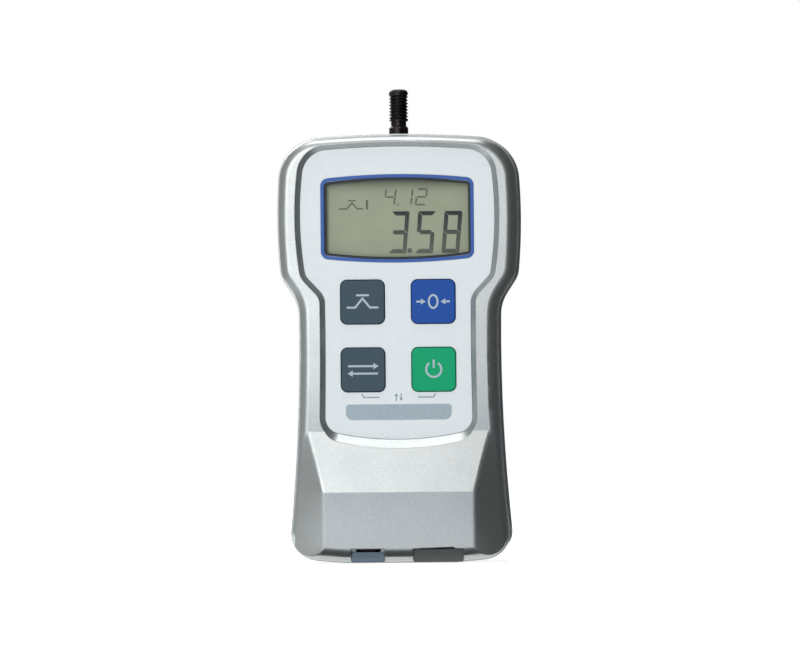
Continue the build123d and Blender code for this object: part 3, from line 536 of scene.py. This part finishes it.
def arc_points(middle, radius, start, end, steps):
    """Points on an arc, for rounded ends and corners. Angles in degrees."""
    angles = [radians(start + (end - start) * k / steps) for k in range(steps + 1)]
    return [(middle[0] + radius * cos(a), middle[1] + radius * sin(a)) for a in angles]

# %% Make the shaft and its thread
shaft_low, shaft_high = box_mm("measuring_shaft")
shaft_y = (shaft_low.y + shaft_high.y) / 2
stud_radius, stud_dome, neck_radius = 3.0, 1.4, 2.4
thread_pitch, thread_depth, thread_length, thread_run_out = 1.0, 0.5, 8.5, 0.9
crest_radius = stud_radius - 0.01
core_radius = stud_radius - thread_depth
stud_top = shaft_high.z
thread_bottom = stud_top - 9.9
thread_top = thread_bottom + thread_length
relief_bottom = thread_bottom - 1.6
spigot_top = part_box("shaft_lock_nut")[0].z / mm

shaft_mesh = turned([
    (0, shaft_low.z), (neck_radius - 0.2, shaft_low.z), (neck_radius, shaft_low.z + 0.2),
    (neck_radius, spigot_top), (stud_radius, spigot_top),
    (stud_radius, relief_bottom - 0.55), (neck_radius + 0.22, relief_bottom - 0.05),
    (neck_radius, relief_bottom + 0.1), (neck_radius, thread_bottom - 0.12),
    (neck_radius + 0.32, thread_bottom), (crest_radius, thread_bottom + 0.3),
    (core_radius, thread_bottom + 0.6), (core_radius, thread_top - 0.3),
    (crest_radius, thread_top - 0.02),
    *arc_points((stud_radius - stud_dome, stud_top - stud_dome), stud_dome, 4, 90, 10),
    (0, stud_top)])
shaft_mesh.transform(Matrix.Translation((0, shaft_y * mm, 0)))
add_piece("shaft_body", shaft_mesh, "shaft_black", "shaft", ["measuring_shaft"], 35)

thread_mesh = grow(threads, "shaft_black", {
    "Radius": stud_radius, "Depth": thread_depth, "Pitch": thread_pitch,
    "Length": thread_length, "Run Out": thread_run_out},
    {"Turn Sides": 73.0, "Height Steps": 205.0})
thread_mesh.transform(Matrix.Translation((0, shaft_y * mm, thread_bottom * mm)))
add_piece("stud_thread", thread_mesh, "shaft_black", "shaft", smooth_angle=50)

# %% [markdown]
# ## Printed marks and display segments
# Print is ink a few hundredths of a millimetre thick. Each mark is drawn as flat shapes in
# millimetres, (x, z), seen from the front, and gets a very thin body that lies on its surface.
# A line of ink is a ribbon, with mitred corners so the width stays even round a bend.

# %% Flat shapes
sharpest_mitre = 0.4
ink_thickness = 0.02


def ribbon(points, width, closed=False):
    """Four-cornered pieces along a line of points."""
    count = len(points)
    line = [Vector(point) for point in points]
    sides = []
    for k in range(count):
        steps = []
        if closed or k > 0:
            steps.append((line[k] - line[(k - 1) % count]).normalized())
        if closed or k < count - 1:
            steps.append((line[(k + 1) % count] - line[k]).normalized())
        ahead = sum(steps, Vector((0, 0))).normalized()
        across = Vector((-ahead.y, ahead.x))
        mitre = abs(across.dot(Vector((-steps[0].y, steps[0].x))))
        reach = width / 2 / max(sharpest_mitre, mitre)
        sides.append((line[k] + across * reach, line[k] - across * reach))
    pieces = []
    for k in range(count if closed else count - 1):
        near, far = sides[k], sides[(k + 1) % count]
        pieces.append([near[0], far[0], far[1], near[1]])
    return pieces


def rectangle(left, foot, right, top):
    return [(left, foot), (right, foot), (right, top), (left, top)]


def moved(shapes, x, z):
    """The same shapes in another place."""
    return [[(point[0] + x, point[1] + z) for point in shape] for shape in shapes]


def ink(name, shapes, front_y, paint, body="base", thickness=ink_thickness, facing=-1):
    """Thin pieces from flat shapes. They lie on front_y and stand out towards the viewer."""
    outer_y = front_y + facing * thickness
    print_shape = bmesh.new()
    for shape in shapes:
        front = [print_shape.verts.new((x * mm, outer_y * mm, z * mm)) for x, z in shape]
        rear = [print_shape.verts.new((x * mm, front_y * mm, z * mm)) for x, z in shape]
        print_shape.faces.new(front)
        print_shape.faces.new(rear[::-1])
        for k in range(len(shape)):
            follow = (k + 1) % len(shape)
            print_shape.faces.new([front[k], rear[k], rear[follow], front[follow]])
    add_piece(name, mesh_of(print_shape, name), paint, body)

# %% [markdown]
# ## The gasket of the display
# A strip of black foam runs round the opening between the window and the display. It keeps dust
# out and hides the cut edge of the case. The window has a dark print round its rear edge, which
# hides where it is glued. Both have the outline of the window frame, moved inward. Their dark is
# partly a painted shade, for the shade that falls on the walls of the opening.

# %% Display gasket
frame_arch, frame_corner, least_corner, corner_steps = 1.3, 2.4, 0.5, 6


def framed_outline(inset, steps=16):
    """The window frame's outline, moved inward: upright sides, arched top and foot."""
    low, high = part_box("window_frame")
    half = (high.x - low.x) / 2 / mm - inset
    top, foot = high.z / mm - inset, low.z / mm + inset
    corner = max(frame_corner - inset, least_corner)
    reach = half - corner
    upper, lower = top - frame_arch - corner, foot + frame_arch + corner

    def rise(x):
        return frame_arch * (1 - (x / reach) ** 2)

    def turn_corner(x, z, start):
        return arc_points((x, z), corner, start, start + 90, corner_steps)

    across = [reach * (1 - 2 * k / steps) for k in range(1, steps)]
    return [*turn_corner(reach, upper, 0),
            *((x, top - frame_arch + rise(x)) for x in across),
            *turn_corner(-reach, upper, 90), *turn_corner(-reach, lower, 180),
            *((-x, foot + frame_arch - rise(x)) for x in across),
            *turn_corner(reach, lower, 270)]


def framed_strip(name, outer_inset, width, front_y, rear_y, paint):
    """A closed strip between two outlines, front_y to rear_y deep."""
    outer, inner = framed_outline(outer_inset), framed_outline(outer_inset + width)
    strip = bmesh.new()
    loops = [[strip.verts.new((x * mm, y * mm, z * mm)) for x, z in outline]
             for outline, y in ((outer, front_y), (inner, front_y),
                                (inner, rear_y), (outer, rear_y))]
    for near, follow in zip(loops, loops[1:] + loops[:1]):
        for k in range(len(outer)):
            j = (k + 1) % len(outer)
            strip.faces.new([near[k], near[j], follow[j], follow[k]])
    add_piece(name, mesh_of(strip, name), paint)


frame_band = 0.95
foam_width, mask_width = 0.45, 0.6
window_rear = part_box("display_window")[1].y / mm
display_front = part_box("lcd_glass")[0].y / mm
# Both strips are dark parts that also stand in for the shade on the walls of the opening.
framed_strip("display_gasket", frame_band + 0.3, foam_width,
             window_rear + 0.02, display_front - 0.05, "seal_black")
framed_strip("window_mask", frame_band - 0.03, mask_width,
             window_rear - 0.03, window_rear - 0.01, "mask_ink")
print("gasket from", round(window_rear, 2), "to", round(display_front, 2))

# %% [markdown]
# ## The reading
# The display shows a number in seven slanted bars per figure. A painted shade makes the bars fade
# from near black at the top to grey at the foot, for liquid crystal that looks darker from above
# than from below. The bars float in the glass a little in front of its mirror, so each casts a
# soft copy of itself, which is a painted shadow: a pale grey copy of the bars, moved a little.

# %% Display ink
# Each ink gets a painted shade: its colour runs from top at top_z down to foot at foot_z.
def display_ink_with_painted_shade(name, top, foot, top_z, foot_z, alpha=1.0):
    tree, shader = new_finish(name)
    up = between(tree, along(tree, "Z"), 0.0, 1.0, foot_z * mm, top_z * mm)
    ripple = between(tree, grain(tree, 1.5), -0.04, 0.04)
    blend = maths(tree, "ADD", up, ripple)
    give(tree, shader, {
        "Base Color": shades(tree, blend, foot, top, 0.0, 1.0),
        "Roughness": 0.5, "Alpha": alpha})


display_ink_with_painted_shade("figure_ink", "0c1622", "676860", 108.5, 97.5)
display_ink_with_painted_shade("small_ink", "5d6a5c", "6d765f", 117.0, 109.0)
# A painted shadow for the bars: pale grey and half see-through.
display_ink_with_painted_shade("painted_shadow_ink", "7c8570", "959c84", 108.0, 98.0, alpha=0.55)

# %% Seven bars
bars_of = {"1": "bc", "2": "abged", "3": "abgcd", "4": "fgbc", "5": "afgcd", "8": "abcdefg"}
middle_tip, side_tip = 0.55, 0.45  # where a bar's point lies, as a share of its thickness


def figure(number, width, height, bar, gap, slant):
    """The bars of one figure, with its lower left corner at (0, 0)."""
    w, h, t = width, height, bar
    mid, half_bar = h / 2, bar / 2
    shapes = {
        "a": [(gap, h), (w - gap, h), (w - t - gap, h - t), (t + gap, h - t)],
        "d": [(t + gap, t), (w - t - gap, t), (w - gap, 0), (gap, 0)],
        "g": [(t * middle_tip + gap, mid), (t + gap, mid + half_bar),
              (w - t - gap, mid + half_bar), (w - t * middle_tip - gap, mid),
              (w - t - gap, mid - half_bar), (t + gap, mid - half_bar)],
        "f": [(0, h - gap), (t, h - t - gap), (t, mid + half_bar + gap),
              (t * side_tip, mid + gap), (0, mid + gap)],
        "e": [(0, gap), (t, t + gap), (t, mid - half_bar - gap),
              (t * side_tip, mid - gap), (0, mid - gap)],
    }
    shapes["b"] = [(w - x, z) for x, z in shapes["f"]]
    shapes["c"] = [(w - x, z) for x, z in shapes["e"]]
    return [[(x + slant * z, z) for x, z in shapes[bar_name]] for bar_name in bars_of[number]]


def figures_at(places, z, sizes):
    """Figures side by side. Each place is a figure and its x."""
    return sum((moved(figure(number, *sizes), x, z) for number, x in places), [])

# %% Lay out the reading
lcd_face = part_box("lcd_glass")[0].y / mm
ink_face = lcd_face - 0.03
large_sizes = (5.4, 12.8, 1.12, 0.1, 0.09)  # width, height, bar, gap and slant
small_sizes = (3.5, 5.3, 0.5, 0.12, 0.12)
large = figures_at((("3", -2.9), ("5", 5.35), ("8", 13.5)), 96.1, large_sizes)
large += moved([[(0, 0), (1.15, 0), (1.25, 1.2), (0.1, 1.2)]], 3.0, 96.25)
# The painted shadow: the bars again, moved 0.15 mm right and 0.22 mm down, lying on the display.
ink("figure_shadow", moved(large, 0.15, -0.22), lcd_face, "painted_shadow_ink", thickness=0.01)
ink("reading", large, ink_face, "figure_ink")

small = figures_at((("4", -4.3), ("1", 0.9), ("2", 5.4)), 110.7, small_sizes)
small += moved([[(0, 0), (0.5, 0), (0.55, 0.5), (0.05, 0.5)]], -0.1, 110.7)
peak_line = [(-4.9, -1.1), (-2.6, -1.1), (-0.9, 0.75), (0.8, -1.1), (2.6, -1.1)]
peak_icon = ribbon(peak_line, 0.45)
peak_icon += [rectangle(-2.0, 1.2, 0.2, 1.6), rectangle(3.4, -1.3, 4.1, 1.6)]
small += moved(peak_icon, -13.2, 110.9)
ink("small_reading", small, ink_face, "small_ink")

# %% [markdown]
# ## Key symbols and plate print
# The keys carry plain symbols in a pale ink: a peak that is held, a zero between two arrows, two
# arrows for the change of units, and the usual stroke and ring for power. The plate has a
# bracket under the keys, two small arrows that mean a turned display, and a grey field that is
# left empty.

# %% Symbols
stroke = 0.62
head_spread = 0.62  # half an arrow head's width, as a share of its length


def arrow(start, end, width, head):
    """A stroke with a pointed head, as flat shapes."""
    start, end = Vector(start), Vector(end)
    ahead = (end - start).normalized()
    across = Vector((-ahead.y, ahead.x)) * head * head_spread
    neck = end - ahead * head
    return ribbon([start, neck + ahead * 0.05], width) + [[end, neck + across, neck - across]]


def ellipse(half_width, half_height, steps, start=0, end=360):
    """Points round an ellipse. A whole one leaves out its last point, which is its first."""
    count = steps if end - start == 360 else steps + 1
    angles = [radians(start + (end - start) * k / steps) for k in range(count)]
    return [(half_width * cos(a), half_height * sin(a)) for a in angles]


symbols = {
    "peak_key": ribbon([(-4.9, -1.7), (-2.3, -1.7), (0, 1.1), (2.3, -1.7), (4.9, -1.7)], stroke)
    + ribbon([(-2.0, 2.1), (2.0, 2.1)], stroke),
    "zero_key": ribbon(ellipse(1.35, 2.0, 32), stroke, closed=True)
    + arrow((-5.2, 0), (-2.3, 0), stroke, 1.5) + arrow((5.2, 0), (2.3, 0), stroke, 1.5),
    "unit_key": arrow((-4.6, 1.15), (4.8, 1.15), stroke, 1.6)
    + arrow((4.6, -1.15), (-4.8, -1.15), stroke, 1.6),
    "power_key": ribbon(ellipse(2.35, 2.35, 36, 125, 415), stroke)
    + ribbon([(0, 0.4), (0, 3.0)], stroke),
}
for name, shapes in symbols.items():
    low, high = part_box(name)
    middle_x, middle_z = (low.x + high.x) / 2 / mm, (low.z + high.z) / 2 / mm
    ink(name + "_symbol", moved(shapes, middle_x, middle_z), low.y / mm, "legend_ink", name)

# %% Plate print
plate_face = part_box("front_overlay")[0].y / mm
plate_marks = []
for side in (-1, 1):
    bracket = [(side * x, z) for x, z in ((11.4, 52.4), (10.8, 51.35), (6.0, 51.35))]
    plate_marks += ribbon(bracket[::-side], 0.36)
plate_marks += arrow((-0.75, 50.2), (-0.75, 52.6), 0.32, 0.95)
plate_marks += arrow((0.75, 52.6), (0.75, 50.2), 0.32, 0.95)
ink("plate_marks", plate_marks, plate_face, "plate_ink")

field = arc_points((15.4, 48.2), 1.0, 0, 90, 6) + arc_points((-15.4, 48.2), 1.0, 90, 180, 6)
field += arc_points((-14.2, 46.5), 2.2, 180, 262, 8)
field += [(x, 44.3 + 0.2 * (x / 14.0) ** 2) for x in (-9, -4.5, 0, 4.5, 9)]
field += arc_points((14.2, 46.5), 2.2, 278, 360, 8)
ink("plate_field", [field], plate_face, "field_ink")

# %% [markdown]
# ## Case screws
# Four cap screws hold the two halves together. Each has a round head, a six sided socket for
# the key, and a threaded shank. One screw is made standing up, then a tree puts a copy on each
# of four points and turns it to face the rear.

# %% Copies on points
def copies_tree():
    tree, given, result = new_tree("copies", ["Tilt"], ["Original"])
    source = add_node(tree, "GeometryNodeObjectInfo", {"Object": given["Original"]})
    aim = add_node(tree, "ShaderNodeCombineXYZ", {"X": given["Tilt"]})
    spread = add_node(tree, "GeometryNodeInstanceOnPoints", {
        "Points": given["Geometry"], "Instance": source["Geometry"],
        "Rotation": aim["Vector"]})
    finish_tree(tree, given, result, spread["Instances"])
    return tree


copies = copies_tree()


def copies_facing_rear(points, original_mesh, paint):
    """A mesh with a copy of the original at each point. Points are in millimetres."""
    cloud = bpy.data.meshes.new("points")
    cloud.from_pydata([tuple(value * mm for value in point) for point in points], [], [])
    original = new_object("original", original_mesh)
    mesh = grow(copies, paint, {}, {"Original": original, "Tilt": radians(-90)}, cloud)
    bpy.data.objects.remove(original)
    return mesh

# %% Make the case screws
screw_low, screw_high = box_mm("case_screws")
head_radius, head_height, head_round = 2.75, 1.8, 0.45
shank_radius, shank_core, shank_tip = 1.5, 1.28, 1.0
socket_radius, socket_depth, socket_bevel = 1.25, 1.15, 0.18
screw_foot_x = 25.0
screw_length = screw_high.y - screw_low.y
seat = screw_length - head_height
screw_mesh = turned([
    (0, 0), (shank_tip, 0), (shank_core, 0.3), (shank_core, seat), (head_radius, seat),
    (head_radius, screw_length - head_round), (head_radius - 0.14, screw_length - 0.14),
    (head_radius - head_round, screw_length), (socket_radius + 0.22, screw_length),
    (socket_radius, screw_length - socket_bevel, 6),
    (socket_radius, screw_length - socket_depth, 6),
    (0, screw_length - socket_depth - 0.15)], 60)
screw_thread = grow(threads, "screw_steel", {
    "Radius": shank_radius, "Depth": 0.24, "Pitch": 0.7, "Length": seat - 0.4, "Run Out": 0.7},
    {"Turn Sides": 37.0, "Height Steps": 141.0})
screw_thread.transform(Matrix.Translation((0, 0, 0.3 * mm)))
whole = bmesh.new()
whole.from_mesh(screw_mesh)
whole.from_mesh(screw_thread)

rows_of_screws = ((screw_high.x - head_radius, screw_high.z - head_radius),
                  (screw_foot_x, screw_low.z + head_radius))
screw_places = [(side * x, screw_low.y, z) for x, z in rows_of_screws for side in (-1, 1)]
screws_mesh = copies_facing_rear(screw_places, mesh_of(whole, "screw", turn_out=False),
                                 "screw_steel")
add_piece("case_cap_screws", screws_mesh, "screw_steel", "base", ["case_screws"], 35)

# %% [markdown]
# ## Insert threads and battery springs
# Both are wire that winds round an axis, so one tree makes both: a spiral from a foot radius to a
# tip radius, with a round wire drawn along it. Inside each brass insert it is a fine thread
# crest of even radius. At each battery it is a cone of nearly four turns, wide at the foot.

# %% Winding tree
def winding_tree():
    tree, given, result = new_tree(
        "winding", ["Foot Radius", "Tip Radius", "Height", "Turns", "Wire Radius"])
    spiral = add_node(tree, "GeometryNodeCurveSpiral", {
        "Resolution": 40, "Rotations": given["Turns"], "Start Radius": given["Foot Radius"],
        "End Radius": given["Tip Radius"], "Height": given["Height"]})
    wire = add_node(tree, "GeometryNodeCurvePrimitiveCircle", {
        "Resolution": 10, "Radius": given["Wire Radius"]})
    draw = add_node(tree, "GeometryNodeCurveToMesh", {
        "Curve": spiral["Curve"], "Profile Curve": wire["Curve"], "Fill Caps": True})
    finish_tree(tree, given, result, draw["Mesh"])
    return tree


windings = winding_tree()

# %% Insert threads
insert_x, insert_middle_z, insert_step_z = 20.0, 87.0, 31.0
insert_thread_start, insert_thread_radius = 5.5, 1.62
insert_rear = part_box("mounting_inserts")[1].y / mm
thread_coil = grow(windings, "bush_brass", {
    "Foot Radius": insert_thread_radius, "Tip Radius": insert_thread_radius, "Height": 5.2,
    "Wire Radius": 0.13}, {"Turns": 7.4})
insert_places = [
    (side * insert_x, insert_rear - insert_thread_start, insert_middle_z + level * insert_step_z)
    for side in (-1, 1) for level in (-1, 1)]
coils = copies_facing_rear(insert_places, thread_coil, "bush_brass")
add_piece("insert_threads", coils, "bush_brass", smooth_angle=60)

# %% Battery springs
spring_low, spring_high = box_mm("battery_springs")
contact_thickness, contact_size, wire_radius = 0.4, 9.0, 0.32
foot_radius, tip_radius, spring_turns = 4.0, 2.25, 3.6
spring_y = (spring_low.y + spring_high.y) / 2
springs = bmesh.new()
for node, side in (("battery_upper", -1), ("battery_lower", 1)):
    cell_low, cell_high = box_mm(node)
    cell_z = (cell_low.z + cell_high.z) / 2
    outer_x = spring_high.x if side > 0 else spring_low.x
    foot_x = outer_x - side * contact_thickness
    flat_end = cell_high.x if side > 0 else cell_low.x
    tip_x = flat_end + side * 0.2
    reach = abs(foot_x - tip_x) - 2 * wire_radius
    coil = grow(windings, "contact_steel", {
        "Foot Radius": foot_radius - wire_radius, "Tip Radius": tip_radius - wire_radius,
        "Height": reach, "Wire Radius": wire_radius}, {"Turns": spring_turns})
    start = Vector((foot_x - side * wire_radius, spring_y, cell_z)) * mm
    coil.transform(Matrix.Translation(start) @ Matrix.Rotation(radians(-90 * side), 4, "Y"))
    springs.from_mesh(coil)
    add_block(springs, (contact_thickness, contact_size, contact_size),
              (outer_x - side * contact_thickness / 2, spring_y, cell_z))
add_piece("coil_springs", mesh_of(springs, "coil_springs", turn_out=False),
          "contact_steel", "base", ["battery_springs"], 50)

# %% [markdown]
# ## Marks on the back
# The label at the back is left without words. It has a thin border, three ruled lines to write
# on, and the two signs for the poles of a cell. The battery door has an arrow that shows which
# way it opens and three ribs in its grip for a finger tip.

# %% Rear label
label_low, label_high = box_mm("rear_label")
label_middle_z = (label_low.z + label_high.z) / 2
label_half = (label_high.x - label_low.x) / 2
margin, line_step, sign_width = 0.9, 3.0, 0.35
ruled_left, ruled_right = -14.0, 5.0
plus_x, minus_x, sign_reach, cross_gap = 9.0, 13.2, 1.1, 0.18
label_marks = ribbon(rectangle(margin - label_half, label_low.z + margin,
                               label_half - margin, label_high.z - margin), 0.22, closed=True)
for step in (1, 0, -1):
    line_z = label_middle_z + line_step * step
    label_marks += ribbon([(ruled_left, line_z), (ruled_right, line_z)], 0.16)
bar = ribbon([(-sign_reach, 0), (sign_reach, 0)], sign_width)
upright = ribbon([(0, cross_gap), (0, sign_reach)], sign_width)
upright += ribbon([(0, -sign_reach), (0, -cross_gap)], sign_width)
label_marks += moved(bar + upright, plus_x, label_middle_z)
label_marks += moved(bar, minus_x, label_middle_z)
seen_from_behind = [[(-x, z) for x, z in shape][::-1] for shape in label_marks]
ink("label_marks", seen_from_behind, label_high.y, "label_ink", facing=1)

# %% Battery door
door_high = box_mm("battery_door")[1]
grip_top = door_high.z - 3.4
rib_size, rib_inset, rib_pitch = (12.6, 0.5, 0.22), 0.35, 0.45
ribs = bmesh.new()
for step in range(3):
    add_block(ribs, rib_size, (0, door_high.y - 0.5, grip_top - rib_inset - rib_pitch * step))
add_piece("door_ribs", mesh_of(ribs, "door_ribs", turn_out=False), "door_silver",
          "battery_door")
arrow_half, arrow_length = 2.6, 3.0
arrow_z = grip_top - 4.2
door_arrow = [[(-arrow_half, arrow_z), (arrow_half, arrow_z), (0, arrow_z - arrow_length)]]
ink("door_arrow", door_arrow, door_high.y - 0.015, "label_ink", "battery_door", facing=1)

# %% [markdown]
# ## Port covers
# The covers are soft rubber. The wide one has a lip along its foot to pull it open with a nail,
# and both have fine ribs across the face, which a tree lays in a row.

# %% Rows of ribs
def row_tree():
    tree, given, result = new_tree("row", ["Count", "Step", "Width", "Depth", "Height"])
    stride = add_node(tree, "ShaderNodeCombineXYZ", {"X": given["Step"]})
    line = add_node(tree, "GeometryNodeMeshLine", {
        "Count": given["Count"], "Offset": stride["Vector"]})
    bar_size = add_node(tree, "ShaderNodeCombineXYZ", {
        "X": given["Width"], "Y": given["Depth"], "Z": given["Height"]})
    bar = add_node(tree, "GeometryNodeMeshCube", {"Size": bar_size["Vector"]})
    spread = add_node(tree, "GeometryNodeInstanceOnPoints", {
        "Points": line["Mesh"], "Instance": bar["Mesh"]})
    finish_tree(tree, given, result, spread["Instances"])
    return tree


rows = row_tree()
rib_step, rib_width, rib_depth, rib_share = 0.8, 0.26, 0.2, 0.34
for node, paint in (("left_port_cover", "cover_grey"), ("right_port_cover", "cover_dark")):
    low, high = box_mm(node)
    count = int((high.x - low.x - 2.0) / rib_step)
    rib_height = (high.z - low.z) * rib_share
    row = grow(rows, paint, {"Step": rib_step, "Width": rib_width, "Depth": rib_depth,
                             "Height": rib_height}, {"Count": float(count)})
    start_x = (low.x + high.x) / 2 - (count - 1) * rib_step / 2
    start = Vector((start_x, low.y - 0.07, high.z - rib_height / 2 - 0.5)) * mm
    row.transform(Matrix.Translation(start))
    add_piece(node + "_ribs", row, paint, node)

# %% [markdown]
# ## The studio
# The gauge stands on a pale floor in front of white. The world is white to the camera and to
# reflections, and gives an even, weaker light to the surfaces. Soft lamps stand at the front
# left, higher at the front, above, and behind.

# %% World
world = bpy.data.worlds.new("studio")
bpy.context.scene.world = world
world.use_nodes = True
sky = world.node_tree
sky.nodes.clear()
seen_white, fill_white, fill_strength = (1, 1, 1, 1), (0.95, 0.97, 1.0, 1), 0.46
path = add_node(sky, "ShaderNodeLightPath")
seen = add_node(sky, "ShaderNodeBackground", {"Color": seen_white, "Strength": 1.0})
fill = add_node(sky, "ShaderNodeBackground", {"Color": fill_white, "Strength": fill_strength})
direct = maths(sky, "MAXIMUM", path["Is Camera Ray"], path["Is Glossy Ray"])
direct = maths(sky, "MAXIMUM", direct, path["Is Transmission Ray"])
choose = add_node(sky, "ShaderNodeMixShader", {
    "Fac": direct, 1: fill["Background"], 2: seen["Background"]})
add_node(sky, "ShaderNodeOutputWorld", {"Surface": choose["Shader"]})
print("world gives", fill_strength, "of white to the surfaces")

# %% Lamps
lamps = {  # place and aim in metres, width and height in metres, power in watts
    "left_window": ((-0.27, -0.92, 0.18), (0, 0, 0.07), (0.5, 0.5), 1.9),
    "front_window": ((-0.15, -0.92, 0.56), (0, 0, 0.07), (0.7, 0.34), 0.8),
    "top_window": ((-0.05, -0.10, 0.85), (0, 0, 0.1), (0.6, 0.35), 2.0),
    "rear_window": ((-0.40, 0.70, 0.5), (0, 0, 0.08), (0.5, 0.5), 2.6),
}
for name, (stand, target, size, power) in lamps.items():
    data = bpy.data.lights.new(name, "AREA")
    data.shape = "RECTANGLE"
    data.size, data.size_y = size
    data.energy = power
    lamp = new_object(name, data)
    lamp.location = stand
    aim_line = Vector(target) - Vector(stand)
    lamp.rotation_euler = aim_line.to_track_quat("-Z", "Y").to_euler()
print(len(lamps), "lamps")

# %% Floor
def flat_sheet(name, corners, faces, paint):
    """A part of the studio, which isn't part of the gauge."""
    mesh = bpy.data.meshes.new(name)
    mesh.from_pydata(corners, [], faces)
    mesh.materials.append(finish[paint])
    sheet = new_object(name, mesh)
    return sheet


def level_corners(left, right, near, far, height):
    return [(x, y, height) for x, y in rectangle(left, near, right, far)]


floor_reach = 6
seen_share, mirror_share = 0.62, 0.85  # the floor's own glow, to the camera and to reflections
tree, shader = new_finish("floor_paint")
give(tree, shader, {
    "Base Color": shades(tree, grain(tree, 60.0), "eeeeee", "f2f2f2"),
    "Roughness": 0.9, "Specular IOR Level": 0.0})
path = add_node(tree, "ShaderNodeLightPath")
seen_glow = maths(tree, "MULTIPLY", path["Is Camera Ray"], seen_share)
mirror_glow = maths(tree, "MULTIPLY", path["Is Glossy Ray"], mirror_share)
glow = add_node(tree, "ShaderNodeEmission", {
    "Strength": maths(tree, "ADD", seen_glow, mirror_glow)})
both = add_node(tree, "ShaderNodeAddShader", {
    0: shader.outputs["BSDF"], 1: glow["Emission"]})
give(tree, tree.nodes["Material Output"], {"Surface": both["Shader"]})
flat_sheet("floor", level_corners(-floor_reach, floor_reach, -floor_reach, floor_reach, 0),
           [(0, 1, 2, 3)], "floor_paint")

# %% [markdown]
# ## The cards
# Silver paint shows its shape by what it reflects, so cards stand around the gauge that are seen
# only in reflections: dark ones on the right and behind, a pale grey one on the left, and a low
# blue grey one in front of the foot. Two dark sheets lie on the floor, to the right of the gauge
# and just before it.

# %% Cards and dark sheets
card_foot, sheet_height = 0.002, 0.001
card_shades = {"card_paint": ("101113", "17181a"), "card_slate": ("5e6160", "686b6a"),
               "card_grey": ("dadcda", "e2e4e2"), "card_blue": ("869fc0", "8fa8c8")}
for name, pair in card_shades.items():
    plain_finish(name, *pair, 5.0, (0.9, 1.0), 0.01)
cards = {  # the line of (x, y) points that a card follows, its top, and its paint
    "dark_card": ([(0.13, 0.13), (0.10, 0.06), (0.038, -0.36)], 0.5, "card_paint"),
    "far_card": ([(0.015, 0.56), (0.20, 0.50)], 0.4, "card_paint"),
    "rear_card": ([(0.20, 0.50), (0.13, 0.13)], 0.4, "card_slate"),
    "grey_card": ([(-0.30, 0.45), (-0.15, 0.02), (-0.13, -0.20)], 0.3, "card_grey"),
    "low_card": ([(-0.2, -0.2), (0.2, -0.2)], 0.045, "card_blue"),
}
dark_sheets = {"dark_side": (0.041, 0.3, -0.3, 0.45), "dark_foot": (-0.06, 0.041, -0.031, -0.018)}
hidden = []
for name, (plan, top, paint) in cards.items():
    corners = [(x, y, z) for z in (card_foot, top) for x, y in plan]
    count = len(plan)
    faces = [(k, k + 1, count + k + 1, count + k) for k in range(count - 1)]
    hidden.append(flat_sheet(name, corners, faces, paint))
for name, edges in dark_sheets.items():
    corners = level_corners(*edges, sheet_height)
    hidden.append(flat_sheet(name, corners, [(0, 1, 2, 3)], "card_paint"))
for sheet in hidden:
    sheet.visible_camera = sheet.visible_diffuse = sheet.visible_shadow = False
print(len(hidden), "cards and sheets that only reflections show")

# %% [markdown]
# ## The camera
# It looks straight at the front, a hair from the right, with a long lens so the case keeps its
# true proportions.

# %% Camera
picture_width, mm_per_pixel, sensor_mm = 800, 0.3110, 36.0
distance, aim_height, aside_degrees, roll_degrees = 3.0, 73.7, 2.5, -0.5
camera_data = bpy.data.cameras.new("camera")
camera = new_object("camera", camera_data)
bpy.context.scene.camera = camera
aside = radians(aside_degrees)
back = Vector((sin(aside), -cos(aside), 0))
camera_data.sensor_width = sensor_mm
camera_data.lens = sensor_mm * distance / (picture_width * mm_per_pixel * mm)
camera.location = Vector((0.0, 0.0, aim_height * mm)) + back * distance
roll = Matrix.Rotation(radians(roll_degrees), 3, "Z")
camera.rotation_euler = (back.to_track_quat("Z", "Y").to_matrix() @ roll).to_euler()
print("lens", round(camera_data.lens, 1), "mm")

# %% Colour handling
bpy.context.scene.view_settings.view_transform = "Standard"
